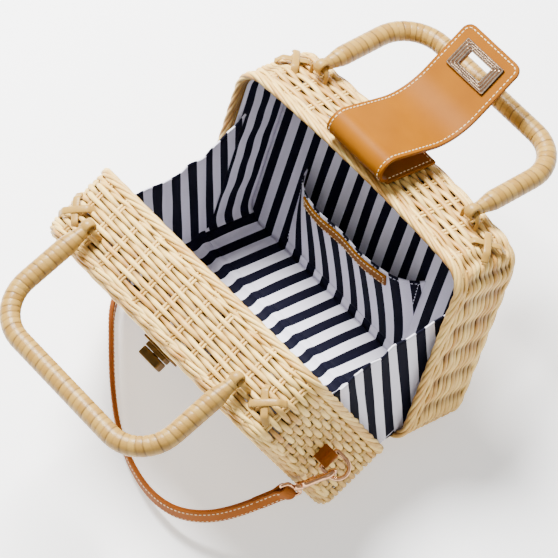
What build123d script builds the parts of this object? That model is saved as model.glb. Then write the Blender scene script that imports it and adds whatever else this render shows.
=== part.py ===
"""Wicker crossbody bag, standing open on its two outer bottom edges.

Two woven trays are hinged along their bottom rims. The front tray carries the
turn lock, the strap rings and the strap, the back tray carries the leather flap
and the pocket. X runs along the hinge, the front half lies towards -Y, and Z=0 is
the table.
"""
import os
from math import atan2, cos, degrees, radians, sin, sqrt, tan

from build123d import *

os.makedirs("parts", exist_ok=True)

# Woven halves, in millimetres and degrees
bag_width = 230.0
bag_height = 165.0
top_crown = 6.0
corner_radius = 22.0
half_depth = 60.0
opening_tilt = 20.5
wall_thickness = 6.0
base_round = 9.0
border_width = 8.0
border_overhang = 1.5
border_bevel = 1.5
mouth_gap = 0.5
row_count = 11
corner_facets = 3
crown_facets = 4
base_facets = 3
row_sink = 0.6
row_relief = 2.0
panel_row_pitch = 4.2
panel_groove_share = 0.42
fit_clearance = 0.3
cut_overrun = 2.0

# Bottom hinge of cane loops on a rod
hinge_drop = 4.6
rod_radius = 1.5
rod_length = 190.0
rod_clearance = 0.25
loop_radius = 4.2
loop_width = 9.0
loop_tail = 18.0
loop_tail_thickness = 1.6
loop_sides = 10
loop_spacing = 84.0
loop_count = 2

# Cane-wrapped handles
handle_inset = 38.0
handle_depth = 38.0
handle_rise = 9.0
handle_length = 83.0
handle_thickness = 14.0
handle_bend = 30.0
handle_lift_angle = 8.0
handle_sides = 8
bend_facets = 3
eye_sides = 10
handle_neck = 9.0
handle_neck_length = 10.0
eye_radius = 5.6
eye_width = 9.0
eye_bore = 2.7
cane_size = 3.2
staple_span = 14.0

# Crossed cane binding beside each handle end
binding_inset = 17.0
binding_depth = 36.0
binding_length = 27.0
binding_width = 5.0
binding_thickness = 1.3
binding_angle = 45.0
skin_clearance = 0.15

# Leather flap with its metal slot plate
flap_width = 54.0
flap_thickness = 2.4
flap_front_margin = 7.0
flap_back_margin = 8.0
flap_fold_radius = 8.0
flap_dip_angle = 8.0
flap_flat_length = 36.0
flap_curve_radius = 45.0
flap_climb_angle = 46.0
flap_tip_length = 42.5
flap_tip_round = 7.0
flap_fold_gap = 0.4
plate_length = 36.0
plate_height = 22.0
plate_thickness = 1.6
plate_tip_margin = 9.0
slot_length = 20.6
slot_height = 11.6

# Turn lock on the front face
lock_drop = 36.0
lock_plate_length = 26.0
lock_plate_height = 16.0
lock_plate_thickness = 1.6
lock_length = 18.0
lock_height = 9.6
lock_post = 3.4
lock_gap = 0.4
lock_knob = 6.6
lock_edge = 1.0
lock_shaft_radius = 2.4
lock_prong = 2.2
lock_prong_spacing = 20.0
backing_thickness = 1.2

# Lining, gussets and pocket
lining_thickness = 1.2
gusset_thickness = 1.2
gusset_height = 120.0
gusset_foot = 23.0
gusset_seam = 14.0
pocket_width = 124.0
pocket_height = 70.0
pocket_foot = 8.0
pocket_gape = 24.0
pocket_thickness = 1.2
pocket_drift = 8.0
label_length = 86.0
label_height = 10.0
label_thickness = 1.6
label_margin = 3.0

# Strap rings, their leather tabs and the snap hooks
ring_height = 88.0
ring_depth = 32.0
tab_reach = 6.5
tab_width = 12.0
leather_thickness = 1.4
ring_wire = 2.6
ring_inner_width = 12.8
ring_straight = 8.0
ring_facets = 8
ring_droop = 20.0
hook_seat = 7.0
hook_play = 2.1
hook_corner = 4.0
hook_eye_corner = 1.6
hook_length = 26.0
hook_width = 13.5
hook_wire = 2.75
hook_thickness = 3.0
gate_start_share = -0.23
gate_end_share = 0.27
gate_gap = 0.3
gate_tongue = 1.2
gate_pin_radius = 0.6
gate_pin_clearance = 0.12
post_radius = 1.8
hub_sides = 8
turn_sides = 10
post_length = 5.5
swivel_height = 17.0
swivel_length = 9.0
swivel_wire = 2.3
swivel_hub = 5.4

# Leather shoulder strap
strap_width = 12.0
strap_thickness = 3.6
strap_fold_length = 24.0
strap_floor_gap = 0.5
strap_first_run = 26.0
strap_turn_right = 37.5
strap_drop_right = 35.0
strap_turn_left = 180.0
strap_drop_left = 34.5

# Directions of the front half: up along its height, out through its depth
tilt = radians(opening_tilt)
across = Vector(1, 0, 0)
front_up = Vector(0, -sin(tilt), cos(tilt))
front_out = Vector(0, -cos(tilt), -sin(tilt))

# The rounded bottom edge of each half touches the table
hinge_height = (half_depth - base_round) * sin(tilt) + base_round - (base_round + hinge_drop) * cos(tilt)
hinge_point = Vector(0, 0, hinge_height)
tray_corner = hinge_point + front_up * hinge_drop

# The top edge is a long arc with its centre far below
crown_radius = ((bag_width / 2) ** 2 + top_crown**2) / (2 * top_crown)
crown_centre = bag_height + top_crown - crown_radius
corner_run = bag_width / 2 - corner_radius
handle_spread = bag_width / 2 - handle_inset
binding_spread = bag_width / 2 - binding_inset
top_corner_centre = crown_centre + sqrt((crown_radius - corner_radius) ** 2 - corner_run**2)
crown_angle = degrees(atan2(corner_run, top_corner_centre - crown_centre))


def front_point(x, height, depth):
    """Place a point given along, up and out of the front half."""
    return tray_corner + across * x + front_up * height + front_out * depth


def top_height(x):
    """Height of the crowned top edge at x along the bag."""
    return crown_centre + sqrt(crown_radius**2 - x**2)


def arc_points(centre, radius, start, end, facets):
    """Points at even steps on an arc, with its angles in degrees."""
    angles = [radians(start + (end - start) * step / facets) for step in range(facets + 1)]
    return [(centre[0] + radius * cos(angle), centre[1] + radius * sin(angle)) for angle in angles]


def outline(depth, inset):
    """Outline of the front half at a depth, moved inwards by inset.

    Cane runs straight from stake to stake, so the corners and the crown are short flats.
    """
    reach = corner_radius - inset
    shoulder = 90 - crown_angle
    low_right = (corner_run, corner_radius)
    low_left = (-corner_run, corner_radius)
    top_right = (corner_run, top_corner_centre)
    top_left = (-corner_run, top_corner_centre)
    crown = arc_points((0, crown_centre), crown_radius - inset, shoulder, 180 - shoulder, crown_facets)
    corners = arc_points(low_right, reach, -90, 0, corner_facets)
    corners += arc_points(top_right, reach, 0, shoulder, corner_facets)
    corners += crown[1:-1]
    corners += arc_points(top_left, reach, 180 - shoulder, 180, corner_facets)
    corners += arc_points(low_left, reach, 180, 270, corner_facets)
    with BuildSketch(Plane(front_point(0, 0, depth), x_dir=across, z_dir=front_out)) as face:
        with BuildLine():
            Polyline(*corners, close=True)
        make_face()
    return face.sketch


def bevelled(plane, length, height, corner):
    """A rectangle with bevelled corners, centred on a plane."""
    with BuildSketch(plane) as face:
        Rectangle(length, height)
        chamfer(face.vertices(), corner)
    return face.sketch


def woven_half():
    """One tray: a bordered woven wall round a woven panel, with slits for the handle loops.

    The wall is a ruled skin through outlines that step in and out row by row.
    """
    row_pitch = (half_depth - base_round - border_width) / row_count
    rings = [
        (mouth_gap, border_bevel),
        (mouth_gap + border_bevel, 0),
        (border_width - border_bevel, 0),
        (border_width, row_sink + row_relief),
    ]
    for row in range(row_count):
        valley = row_sink + row_relief if row < row_count - 1 else 0
        rings.append((border_width + (row + 0.5) * row_pitch, row_sink))
        rings.append((border_width + (row + 1) * row_pitch, valley))
    for step in range(1, base_facets + 1):
        angle = radians(90 * step / base_facets)
        rings.append((half_depth - base_round * (1 - sin(angle)), base_round * (1 - cos(angle))))
    with BuildPart() as tray:
        loft([outline(depth, inset) for depth, inset in rings], ruled=True)
        mouth = outline(0, wall_thickness + border_overhang)
        extrude(mouth, amount=border_width, mode=Mode.SUBTRACT)
        inside = outline(border_width, wall_thickness)
        extrude(inside, amount=half_depth - wall_thickness - border_width, mode=Mode.SUBTRACT)
        panel_rows = int((bag_height - 2 * base_round) / panel_row_pitch)
        groove = panel_row_pitch * panel_groove_share
        with BuildSketch(Plane(front_point(0, 0, half_depth), x_dir=front_up, z_dir=across)):
            for row in range(panel_rows):
                middle = base_round + (row + 0.5) * panel_row_pitch
                with BuildLine():
                    Polyline(
                        (middle - groove, 0),
                        (middle, -row_relief),
                        (middle + groove, 0),
                        close=True,
                    )
                make_face()
        extrude(amount=bag_width / 2 - base_round, both=True, mode=Mode.SUBTRACT)
        slit = cane_size + 2 * fit_clearance
        for x in (-handle_spread, handle_spread):
            for leg in (x - staple_span / 2, x + staple_span / 2):
                slit_top = Plane(front_point(leg, bag_height + top_crown, handle_depth), x_dir=across, z_dir=-front_up)
                with BuildSketch(slit_top):
                    Rectangle(slit, slit)
                extrude(amount=wall_thickness + top_crown + border_overhang, mode=Mode.SUBTRACT)
    return tray.part


woven = woven_half()

# Front tray: holes for the lock's prongs and shaft, a seat for its backing, slits for the tabs
lock_height_up = bag_height - lock_drop
panel_inside = half_depth - wall_thickness
with BuildPart() as front_basket:
    add(woven)
    lock_back = Plane(front_point(0, lock_height_up, panel_inside), x_dir=across, z_dir=front_out)
    with BuildSketch(lock_back):
        Rectangle(lock_plate_length + fit_clearance, lock_plate_height + fit_clearance)
    extrude(amount=backing_thickness + fit_clearance, mode=Mode.SUBTRACT)
    with BuildSketch(lock_back):
        with GridLocations(lock_prong_spacing, 0, 2, 1):
            Rectangle(lock_prong + 2 * fit_clearance, lock_prong + 2 * fit_clearance)
    extrude(amount=wall_thickness + cut_overrun, mode=Mode.SUBTRACT)
    tab_slit = Plane(front_point(0, ring_height, ring_depth), x_dir=front_up, z_dir=across)
    with BuildSketch(tab_slit):
        Rectangle(2 * leather_thickness + 2 * fit_clearance, tab_width + 2 * fit_clearance)
    extrude(amount=bag_width / 2 + cut_overrun, both=True, mode=Mode.SUBTRACT)
front_basket.part.label = "front_basket"
export_step(front_basket.part, "parts/front_basket.step")

with BuildPart() as back_basket:
    mirror(woven, about=Plane.XZ)
back_basket.part.label = "back_basket"
export_step(back_basket.part, "parts/back_basket.step")

# Lining: a striped cloth skin inside each tray
lining_inset = wall_thickness + fit_clearance
lining_mouth = border_width + fit_clearance
lining_floor = panel_inside - fit_clearance
with BuildPart() as front_lining:
    extrude(outline(lining_mouth, lining_inset), amount=lining_floor - lining_mouth)
    hollow = outline(lining_mouth, lining_inset + lining_thickness)
    extrude(hollow, amount=lining_floor - lining_mouth - lining_thickness, mode=Mode.SUBTRACT)
front_lining.part.label = "front_lining"
export_step(front_lining.part, "parts/front_lining.step")

with BuildPart() as back_lining:
    mirror(front_lining.part, about=Plane.XZ)
back_lining.part.label = "back_lining"
export_step(back_lining.part, "parts/back_lining.step")

# Gussets: cloth triangles between the two linings at each end
gusset_inset = lining_inset + lining_thickness + border_overhang
gusset_top = front_point(0, gusset_height, gusset_seam)
gusset_low = front_point(0, gusset_foot, gusset_seam)
for end, end_name in ((-1, "left_gusset"), (1, "right_gusset")):
    gusset_origin = Vector(end * (bag_width / 2 - gusset_inset), 0, 0)
    with BuildPart() as gusset:
        with BuildSketch(Plane(gusset_origin, x_dir=Vector(0, 1, 0), z_dir=across * -end)):
            with BuildLine():
                Polyline(
                    (gusset_top.Y, gusset_top.Z * -end),
                    (gusset_low.Y, gusset_low.Z * -end),
                    (-gusset_low.Y, gusset_low.Z * -end),
                    (-gusset_top.Y, gusset_top.Z * -end),
                    close=True,
                )
            make_face()
        extrude(amount=gusset_thickness)
    gusset.part.label = end_name
    export_step(gusset.part, f"parts/{end_name}.step")

# Pocket: a gaping cloth patch on the back panel, with a leather label along its top edge
pocket_back = lining_floor - lining_thickness - fit_clearance
pocket_floor = lining_inset + lining_thickness + pocket_foot
pocket_top = pocket_floor + pocket_height
pocket_lean = atan2(pocket_gape, pocket_height)
pocket_side = Plane(front_point(-pocket_width / 2 - pocket_drift, 0, 0), x_dir=front_up, z_dir=across)
with BuildPart() as pocket_front:
    with BuildSketch(pocket_side):
        with BuildLine():
            Polyline(
                (pocket_floor, pocket_back),
                (pocket_top, pocket_back),
                (pocket_top, pocket_back - pocket_gape),
                close=True,
            )
        make_face()
    extrude(amount=pocket_width)
    cloth_step = pocket_thickness / sin(pocket_lean)
    pocket_hollow = Plane(
        front_point(-pocket_width / 2 - pocket_drift + pocket_thickness, 0, 0), x_dir=front_up, z_dir=across
    )
    with BuildSketch(pocket_hollow):
        with BuildLine():
            Polyline(
                (pocket_floor + cloth_step, pocket_back),
                (pocket_top + cut_overrun, pocket_back),
                (pocket_top + cut_overrun, pocket_back - (pocket_height + cut_overrun - cloth_step) * tan(pocket_lean)),
                close=True,
            )
        make_face()
    extrude(amount=pocket_width - 2 * pocket_thickness, mode=Mode.SUBTRACT)
with BuildPart() as pocket:
    mirror(pocket_front.part, about=Plane.XZ)
pocket.part.label = "pocket"
export_step(pocket.part, "parts/pocket.step")

label_slope = front_up * cos(pocket_lean) - front_out * sin(pocket_lean)
label_normal = front_out * -cos(pocket_lean) - front_up * sin(pocket_lean)
label_edge = front_point(-pocket_drift, pocket_top, pocket_back - pocket_gape) + label_normal * skin_clearance
label_middle = label_edge - label_slope * (label_margin + label_height / 2)
with BuildPart() as label_front:
    with BuildSketch(Plane(label_middle, x_dir=across, z_dir=label_normal)):
        Rectangle(label_length, label_height)
    extrude(amount=label_thickness)
with BuildPart() as pocket_label:
    mirror(label_front.part, about=Plane.XZ)
pocket_label.part.label = "pocket_label"
export_step(pocket_label.part, "parts/pocket_label.step")

# Hinge: a rod on the axis, held by cane loops from both bottoms in turn
with BuildPart() as hinge_rod:
    with BuildSketch(Plane(hinge_point, x_dir=Vector(0, 1, 0), z_dir=across)):
        Circle(rod_radius)
    extrude(amount=rod_length / 2, both=True)
hinge_rod.part.label = "hinge_rod"
export_step(hinge_rod.part, "parts/hinge_rod.step")


def hinge_loops(shift):
    """Cane loops round the rod, with their tails flat under the front tray's bottom."""
    with BuildPart() as loops:
        for place in range(loop_count):
            x = (place - (loop_count - 1) / 2) * loop_spacing + shift
            plane = Plane(hinge_point + across * (x - loop_width / 2), x_dir=front_up, z_dir=across)
            with BuildSketch(plane):
                RegularPolygon(loop_radius, loop_sides)
                with Locations((hinge_drop - loop_tail_thickness / 2, loop_tail / 2)):
                    Rectangle(loop_tail_thickness, loop_tail)
                Circle(rod_radius + rod_clearance, mode=Mode.SUBTRACT)
            extrude(amount=loop_width)
    return loops.part


with BuildPart() as front_hinge_loops:
    add(hinge_loops(-loop_spacing / 4))
front_hinge_loops.part.label = "front_hinge_loops"
export_step(front_hinge_loops.part, "parts/front_hinge_loops.step")

with BuildPart() as back_hinge_loops:
    mirror(hinge_loops(loop_spacing / 4), about=Plane.XZ)
back_hinge_loops.part.label = "back_hinge_loops"
export_step(back_hinge_loops.part, "parts/back_hinge_loops.step")

# Handles: a wrapped bow that swings on a cane loop through an eye at each end
pivot_height = top_height(handle_spread) + handle_rise
lift = radians(handle_lift_angle)
handle_way = front_out * cos(lift) + front_up * sin(lift)
handle_pivot = front_point(0, pivot_height, handle_depth)
with BuildPart() as front_handle:
    bow_plane = Plane(handle_pivot, x_dir=across, z_dir=across.cross(handle_way))
    bend_x = handle_spread - handle_bend
    bend_y = handle_length - handle_bend
    with BuildLine(bow_plane) as bow:
        Polyline(
            (-handle_spread, handle_neck_length),
            *arc_points((-bend_x, bend_y), handle_bend, 180, 90, bend_facets),
            *arc_points((bend_x, bend_y), handle_bend, 90, 0, bend_facets),
            (handle_spread, handle_neck_length),
        )
    with BuildSketch(Plane(bow.wires()[0] @ 0, x_dir=across, z_dir=handle_way)):
        RegularPolygon(handle_thickness / 2, handle_sides)
    sweep(path=bow.wires()[0], transition=Transition.RIGHT)
    for x in (-handle_spread, handle_spread):
        eye_start = handle_pivot + across * (x - eye_width / 2)
        neck_end = handle_pivot + across * x + handle_way * handle_neck_length
        with BuildSketch(Plane(neck_end, x_dir=across, z_dir=-handle_way)):
            RegularPolygon(handle_thickness / 2, handle_sides)
        with BuildSketch(Plane(handle_pivot + across * x, x_dir=across, z_dir=-handle_way)):
            RegularPolygon(handle_neck / 2, handle_sides)
        loft(ruled=True)
        with BuildSketch(Plane(eye_start, x_dir=handle_way, z_dir=across)):
            RegularPolygon(eye_radius, eye_sides)
        extrude(amount=eye_width)
        with BuildSketch(Plane(handle_pivot + across * x, x_dir=handle_way, z_dir=across)):
            Circle(eye_bore)
        extrude(amount=eye_width, both=True, mode=Mode.SUBTRACT)
front_handle.part.label = "front_handle"
export_step(front_handle.part, "parts/front_handle.step")

with BuildPart() as back_handle:
    mirror(front_handle.part, about=Plane.XZ)
back_handle.part.label = "back_handle"
export_step(back_handle.part, "parts/back_handle.step")

# Handle loops: cane staples through the eyes and down through the weave
with BuildPart() as front_handle_loops:
    for x in (-handle_spread, handle_spread):
        foot = top_height(abs(x) - staple_span / 2) - wall_thickness
        staple_rise = pivot_height + cane_size / 2 - foot
        staple_middle = front_point(x, foot + staple_rise / 2, handle_depth)
        with BuildSketch(Plane(staple_middle, x_dir=across, z_dir=front_out)):
            Rectangle(staple_span + cane_size, staple_rise)
            with Locations((0, -cane_size)):
                Rectangle(staple_span - cane_size, staple_rise, mode=Mode.SUBTRACT)
        extrude(amount=cane_size / 2, both=True)
front_handle_loops.part.label = "front_handle_loops"
export_step(front_handle_loops.part, "parts/front_handle_loops.step")

with BuildPart() as back_handle_loops:
    mirror(front_handle_loops.part, about=Plane.XZ)
back_handle_loops.part.label = "back_handle_loops"
export_step(back_handle_loops.part, "parts/back_handle_loops.step")


def top_skin(thickness):
    """A skin that follows the crowned top edge of the front half."""
    with BuildPart() as skin:
        extrude(outline(0, -skin_clearance - thickness), amount=half_depth)
        extrude(outline(0, -skin_clearance), amount=half_depth, mode=Mode.SUBTRACT)
    return skin.part


# Bindings: two flat cane strips crossed beside each handle end
with BuildPart() as front_bindings:
    add(top_skin(binding_thickness))
    strips = Plane(front_point(0, bag_height / 2, 0), x_dir=across, z_dir=front_up)
    with BuildSketch(strips):
        for x in (-binding_spread, binding_spread):
            for angle in (-binding_angle, binding_angle):
                with Locations(Location((x, -binding_depth), angle)):
                    Rectangle(binding_length, binding_width)
    extrude(amount=bag_height, mode=Mode.INTERSECT)
front_bindings.part.label = "front_bindings"
export_step(front_bindings.part, "parts/front_bindings.step")

with BuildPart() as back_bindings:
    mirror(front_bindings.part, about=Plane.XZ)
back_bindings.part.label = "back_bindings"
export_step(back_bindings.part, "parts/back_bindings.step")

# Flap base: the leather layer stitched along the back half's top
flap_base_length = half_depth - flap_front_margin - flap_back_margin
with BuildPart() as flap_base_front:
    add(top_skin(flap_thickness))
    with BuildSketch(Plane(front_point(0, bag_height / 2, 0), x_dir=across, z_dir=front_up)):
        with Locations((0, -flap_front_margin - flap_base_length / 2)):
            RectangleRounded(flap_width, flap_base_length, flap_thickness)
    extrude(amount=bag_height, mode=Mode.INTERSECT)
with BuildPart() as flap_base:
    mirror(flap_base_front.part, about=Plane.XZ)
flap_base.part.label = "flap_base"
export_step(flap_base.part, "parts/flap_base.step")

# Flap: one leather leaf that folds over at the mouth, dips and climbs back over the handle
flap_bottom = bag_height + top_crown + skin_clearance + 2 * flap_thickness + flap_fold_gap
climb = radians(flap_climb_angle)
with BuildPart() as flap_front:
    with BuildSketch(Plane(front_point(-flap_width / 2, 0, 0), x_dir=front_out, z_dir=-across)) as leaf:
        with BuildLine() as leaf_line:
            fold_start = (flap_front_margin, flap_bottom)
            fold = JernArc(fold_start, (-1, 0), flap_fold_radius, -180 - flap_dip_angle)
            dip_run = PolarLine(fold @ 1, flap_flat_length, -flap_dip_angle)
            rise = JernArc(dip_run @ 1, dip_run % 1, flap_curve_radius, flap_dip_angle + flap_climb_angle)
            tip_run = PolarLine(rise @ 1, flap_tip_length, flap_climb_angle)
            offset(amount=flap_thickness, side=Side.LEFT)
        make_face()
    extrude(amount=-flap_width)
    tip_edges = flap_front.edges().filter_by(lambda e: abs(e.length - flap_thickness) < skin_clearance)
    fillet(tip_edges.sort_by(Axis(front_point(0, 0, 0), front_out))[-2:], flap_tip_round)
tip_way = front_out * cos(climb) + front_up * sin(climb)
tip_normal = front_up * cos(climb) - front_out * sin(climb)
tip_local = tip_run @ 1
tip_point = front_point(0, tip_local.Y, tip_local.X) + tip_normal * flap_thickness
plate_middle = tip_point - tip_way * (plate_tip_margin + plate_height / 2)
with BuildPart() as flap_cut:
    add(flap_front.part)
    with BuildSketch(Plane(plate_middle, x_dir=across, z_dir=-tip_normal)):
        Rectangle(slot_length, slot_height)
    extrude(amount=flap_thickness + cut_overrun, mode=Mode.SUBTRACT)
with BuildPart() as flap:
    mirror(flap_cut.part, about=Plane.XZ)
flap.part.label = "flap"
export_step(flap.part, "parts/flap.step")

with BuildPart() as flap_plate_front:
    with BuildSketch(Plane(plate_middle, x_dir=across, z_dir=tip_normal)):
        Rectangle(plate_length, plate_height)
        Rectangle(slot_length, slot_height, mode=Mode.SUBTRACT)
    extrude(amount=plate_thickness)
with BuildPart() as flap_plate:
    mirror(flap_plate_front.part, about=Plane.XZ)
flap_plate.part.label = "flap_plate"
export_step(flap_plate.part, "parts/flap_plate.step")

# Turn lock: plate and post fixed to the front panel, knob on a shaft, backing inside
lock_seat = front_point(0, lock_height_up, half_depth)
with BuildPart() as lock_base:
    lock_plane = Plane(lock_seat, x_dir=across, z_dir=front_out)
    extrude(bevelled(lock_plane, lock_plate_length, lock_plate_height, lock_edge), amount=lock_plate_thickness)
    with BuildSketch(Plane(lock_seat, x_dir=across, z_dir=front_out)):
        Rectangle(lock_length, lock_height)
    extrude(amount=lock_plate_thickness + lock_post)
    with BuildSketch(Plane(lock_seat, x_dir=across, z_dir=-front_out)):
        with GridLocations(lock_prong_spacing, 0, 2, 1):
            Rectangle(lock_prong, lock_prong)
    extrude(amount=wall_thickness - backing_thickness - fit_clearance)
    with BuildSketch(Plane(lock_seat, x_dir=across, z_dir=front_out)):
        Circle(lock_shaft_radius + rod_clearance)
    extrude(amount=lock_plate_thickness + lock_post, mode=Mode.SUBTRACT)
lock_base.part.label = "lock_base"
export_step(lock_base.part, "parts/lock_base.step")

knob_seat = lock_seat + front_out * (lock_plate_thickness + lock_post + lock_gap)
with BuildPart() as lock_knob_block:
    with BuildSketch(Plane(knob_seat, x_dir=across, z_dir=front_out)):
        Rectangle(lock_length, lock_height)
    extrude(amount=lock_knob)
    chamfer(lock_knob_block.faces().sort_by(Axis(knob_seat, front_out))[-1].edges(), lock_edge)
    with BuildSketch(Plane(knob_seat, x_dir=across, z_dir=-front_out)):
        Circle(lock_shaft_radius)
    extrude(amount=lock_post + lock_plate_thickness)
lock_knob_block.part.label = "lock_knob"
export_step(lock_knob_block.part, "parts/lock_knob.step")

with BuildPart() as lock_backing:
    with BuildSketch(Plane(front_point(0, lock_height_up, panel_inside), x_dir=across, z_dir=front_out)):
        Rectangle(lock_plate_length - fit_clearance, lock_plate_height - fit_clearance)
    extrude(amount=backing_thickness)
lock_backing.part.label = "lock_backing"
export_step(lock_backing.part, "parts/lock_backing.step")

# Strap fittings at both ends of the front half
ring_hole = ring_wire / sqrt(2) + rod_clearance


def leather_loop(plane, width, tail, layer, bore):
    """A leather strip turned round a bar at the plane's origin, with its tail along -x."""
    with BuildPart() as strip:
        with BuildSketch(plane):
            RegularPolygon(bore + layer, turn_sides)
            with Locations((-tail / 2, 0)):
                Rectangle(tail, 2 * layer)
            Circle(bore, mode=Mode.SUBTRACT)
        extrude(amount=width / 2, both=True)
    return strip.part


def pull_direction(turn, drop):
    """The way a hook is pulled: turn goes from the front towards the left, drop goes down."""
    level = cos(radians(drop))
    return Vector(-sin(radians(turn)) * level, -cos(radians(turn)) * level, -sin(radians(drop)))


def ring_outline(plane, inset):
    """The D of a strap ring, moved inwards by inset."""
    reach = ring_inner_width / 2 + ring_wire - inset
    foot = inset - ring_wire / 2
    with BuildSketch(plane) as face:
        with BuildLine():
            Polyline((-reach, foot), (reach, foot), *arc_points((0, ring_straight), reach, 0, 180, ring_facets), close=True)
        make_face()
    return face.sketch


def fittings(side, pull, pull_side):
    """Build the tab, ring, hook, gate, swivel and strap fold of one end.

    side is +1 for the right end, pull is the way the hook runs and pull_side says
    which side of the ring it hangs on.
    """
    outward = across * side
    bar = front_point(0, ring_height, ring_depth) + outward * (bag_width / 2 + tab_reach)
    tip = radians(ring_droop)
    ring_way = outward * cos(tip) - front_up * sin(tip)
    pieces = {}

    tab_plane = Plane(bar, x_dir=outward, z_dir=front_out)
    with BuildPart() as tab:
        add(leather_loop(tab_plane, tab_width, tab_reach + wall_thickness, leather_thickness, ring_hole))
    pieces["tab"] = tab.part

    ring_plane = Plane(bar, x_dir=front_out, z_dir=front_out.cross(ring_way))
    with BuildPart() as ring:
        extrude(ring_outline(ring_plane, 0), amount=ring_wire / 2, both=True)
        extrude(ring_outline(ring_plane, ring_wire), amount=ring_wire / 2, both=True, mode=Mode.SUBTRACT)
    pieces["ring"] = ring.part

    rod_middle = bar + ring_way * hook_seat + front_out * (pull_side * (ring_inner_width + ring_wire) / 2)
    hook_normal = (ring_way - pull * ring_way.dot(pull)).normalized()
    seat_shift = hook_length / 2 - hook_wire - ring_wire / 2 - hook_play
    hook_middle = rod_middle + pull * seat_shift
    hook_plane = Plane(hook_middle, x_dir=pull, z_dir=hook_normal)
    gate_start = gate_start_share * hook_length
    gate_end = gate_end_share * hook_length
    gate_line = (hook_width - hook_wire) / 2
    gate_pivot = gate_end - hook_wire / 2
    with BuildPart() as hook:
        extrude(bevelled(hook_plane, hook_length, hook_width, hook_corner), amount=hook_thickness / 2, both=True)
        hook_eye = bevelled(hook_plane, hook_length - 2 * hook_wire, hook_width - 2 * hook_wire, hook_eye_corner)
        extrude(hook_eye, amount=hook_thickness / 2, both=True, mode=Mode.SUBTRACT)
        with BuildSketch(hook_plane):
            with Locations(((gate_start + gate_end - hook_wire) / 2, gate_line)):
                Rectangle(gate_end - hook_wire - gate_start, hook_wire + cut_overrun)
        extrude(amount=hook_thickness / 2, both=True, mode=Mode.SUBTRACT)
        with BuildSketch(hook_plane):
            with Locations((gate_pivot - hook_wire / 2, gate_line)):
                Rectangle(2 * hook_wire, hook_wire + cut_overrun)
        extrude(amount=gate_tongue / 2 + gate_gap / 2, both=True, mode=Mode.SUBTRACT)
        with BuildSketch(hook_plane):
            with Locations((gate_pivot, gate_line)):
                Circle(gate_pin_radius)
        extrude(amount=hook_thickness / 2, both=True)
        with BuildSketch(Plane(hook_middle + pull * (hook_length / 2 - hook_wire / 2), z_dir=pull)):
            RegularPolygon(post_radius, turn_sides)
        extrude(amount=post_length)
    pieces["hook"] = hook.part

    with BuildPart() as gate:
        with BuildSketch(hook_plane):
            with Locations(((gate_start + gate_end - hook_wire) / 2, gate_line)):
                Rectangle(gate_end - hook_wire - gate_start - 2 * gate_gap, hook_wire)
        extrude(amount=hook_thickness / 2, both=True)
        with BuildSketch(hook_plane):
            with Locations((gate_pivot, gate_line)):
                RegularPolygon(hook_wire / 2 - gate_gap / 2, hub_sides)
            with Locations((gate_pivot - hook_wire / 2 - gate_gap, gate_line)):
                Rectangle(hook_wire, hook_wire - gate_gap)
            with Locations((gate_pivot, gate_line)):
                Circle(gate_pin_radius + gate_pin_clearance, mode=Mode.SUBTRACT)
        extrude(amount=gate_tongue / 2, both=True)
    pieces["gate"] = gate.part

    rise = (Vector(0, 0, 1) - pull * pull.Z).normalized()
    hub_start = hook_middle + pull * (hook_length / 2 + fit_clearance)
    swivel_start = hub_start + pull * swivel_hub
    swivel_middle = swivel_start + pull * (swivel_length / 2)
    with BuildPart() as swivel:
        swivel_plane = Plane(swivel_middle, x_dir=pull, z_dir=pull.cross(rise))
        swivel_frame = bevelled(swivel_plane, swivel_length, swivel_height, swivel_wire / 2)
        extrude(swivel_frame, amount=swivel_wire / 2, both=True)
        with BuildSketch(swivel_plane):
            Rectangle(swivel_length - 2 * swivel_wire, swivel_height - 2 * swivel_wire)
        extrude(amount=swivel_wire / 2, both=True, mode=Mode.SUBTRACT)
        with BuildSketch(Plane(hub_start, x_dir=rise, z_dir=pull)):
            RegularPolygon(post_radius + swivel_wire / 2, hub_sides)
        extrude(amount=swivel_hub)
        with BuildSketch(Plane(hub_start, x_dir=rise, z_dir=pull)):
            Circle(post_radius + rod_clearance)
        extrude(amount=post_length - hook_wire / 2, mode=Mode.SUBTRACT)
    pieces["swivel"] = swivel.part

    strap_bar = swivel_start + pull * (swivel_length - swivel_wire / 2)
    strap_layer = strap_thickness / 2
    fold_plane = Plane(strap_bar, x_dir=-pull, z_dir=rise)
    with BuildPart() as fold:
        bar_hole = swivel_wire / sqrt(2) + rod_clearance
        add(leather_loop(fold_plane, strap_width, strap_fold_length, strap_layer, bar_hole))
    pieces["strap_fold"] = fold.part
    return pieces, strap_bar + pull * (strap_fold_length + skin_clearance)


right_pull = pull_direction(strap_turn_right, strap_drop_right)
left_pull = pull_direction(strap_turn_left, strap_drop_left)
right_pieces, strap_start = fittings(1, right_pull, 1)
left_pieces, strap_end = fittings(-1, left_pull, -1)
for end_name, pieces in (("right", right_pieces), ("left", left_pieces)):
    for piece_name, piece in pieces.items():
        node = f"{end_name}_{piece_name}"
        piece.label = node
        export_step(piece, f"parts/{node}.step")

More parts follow.
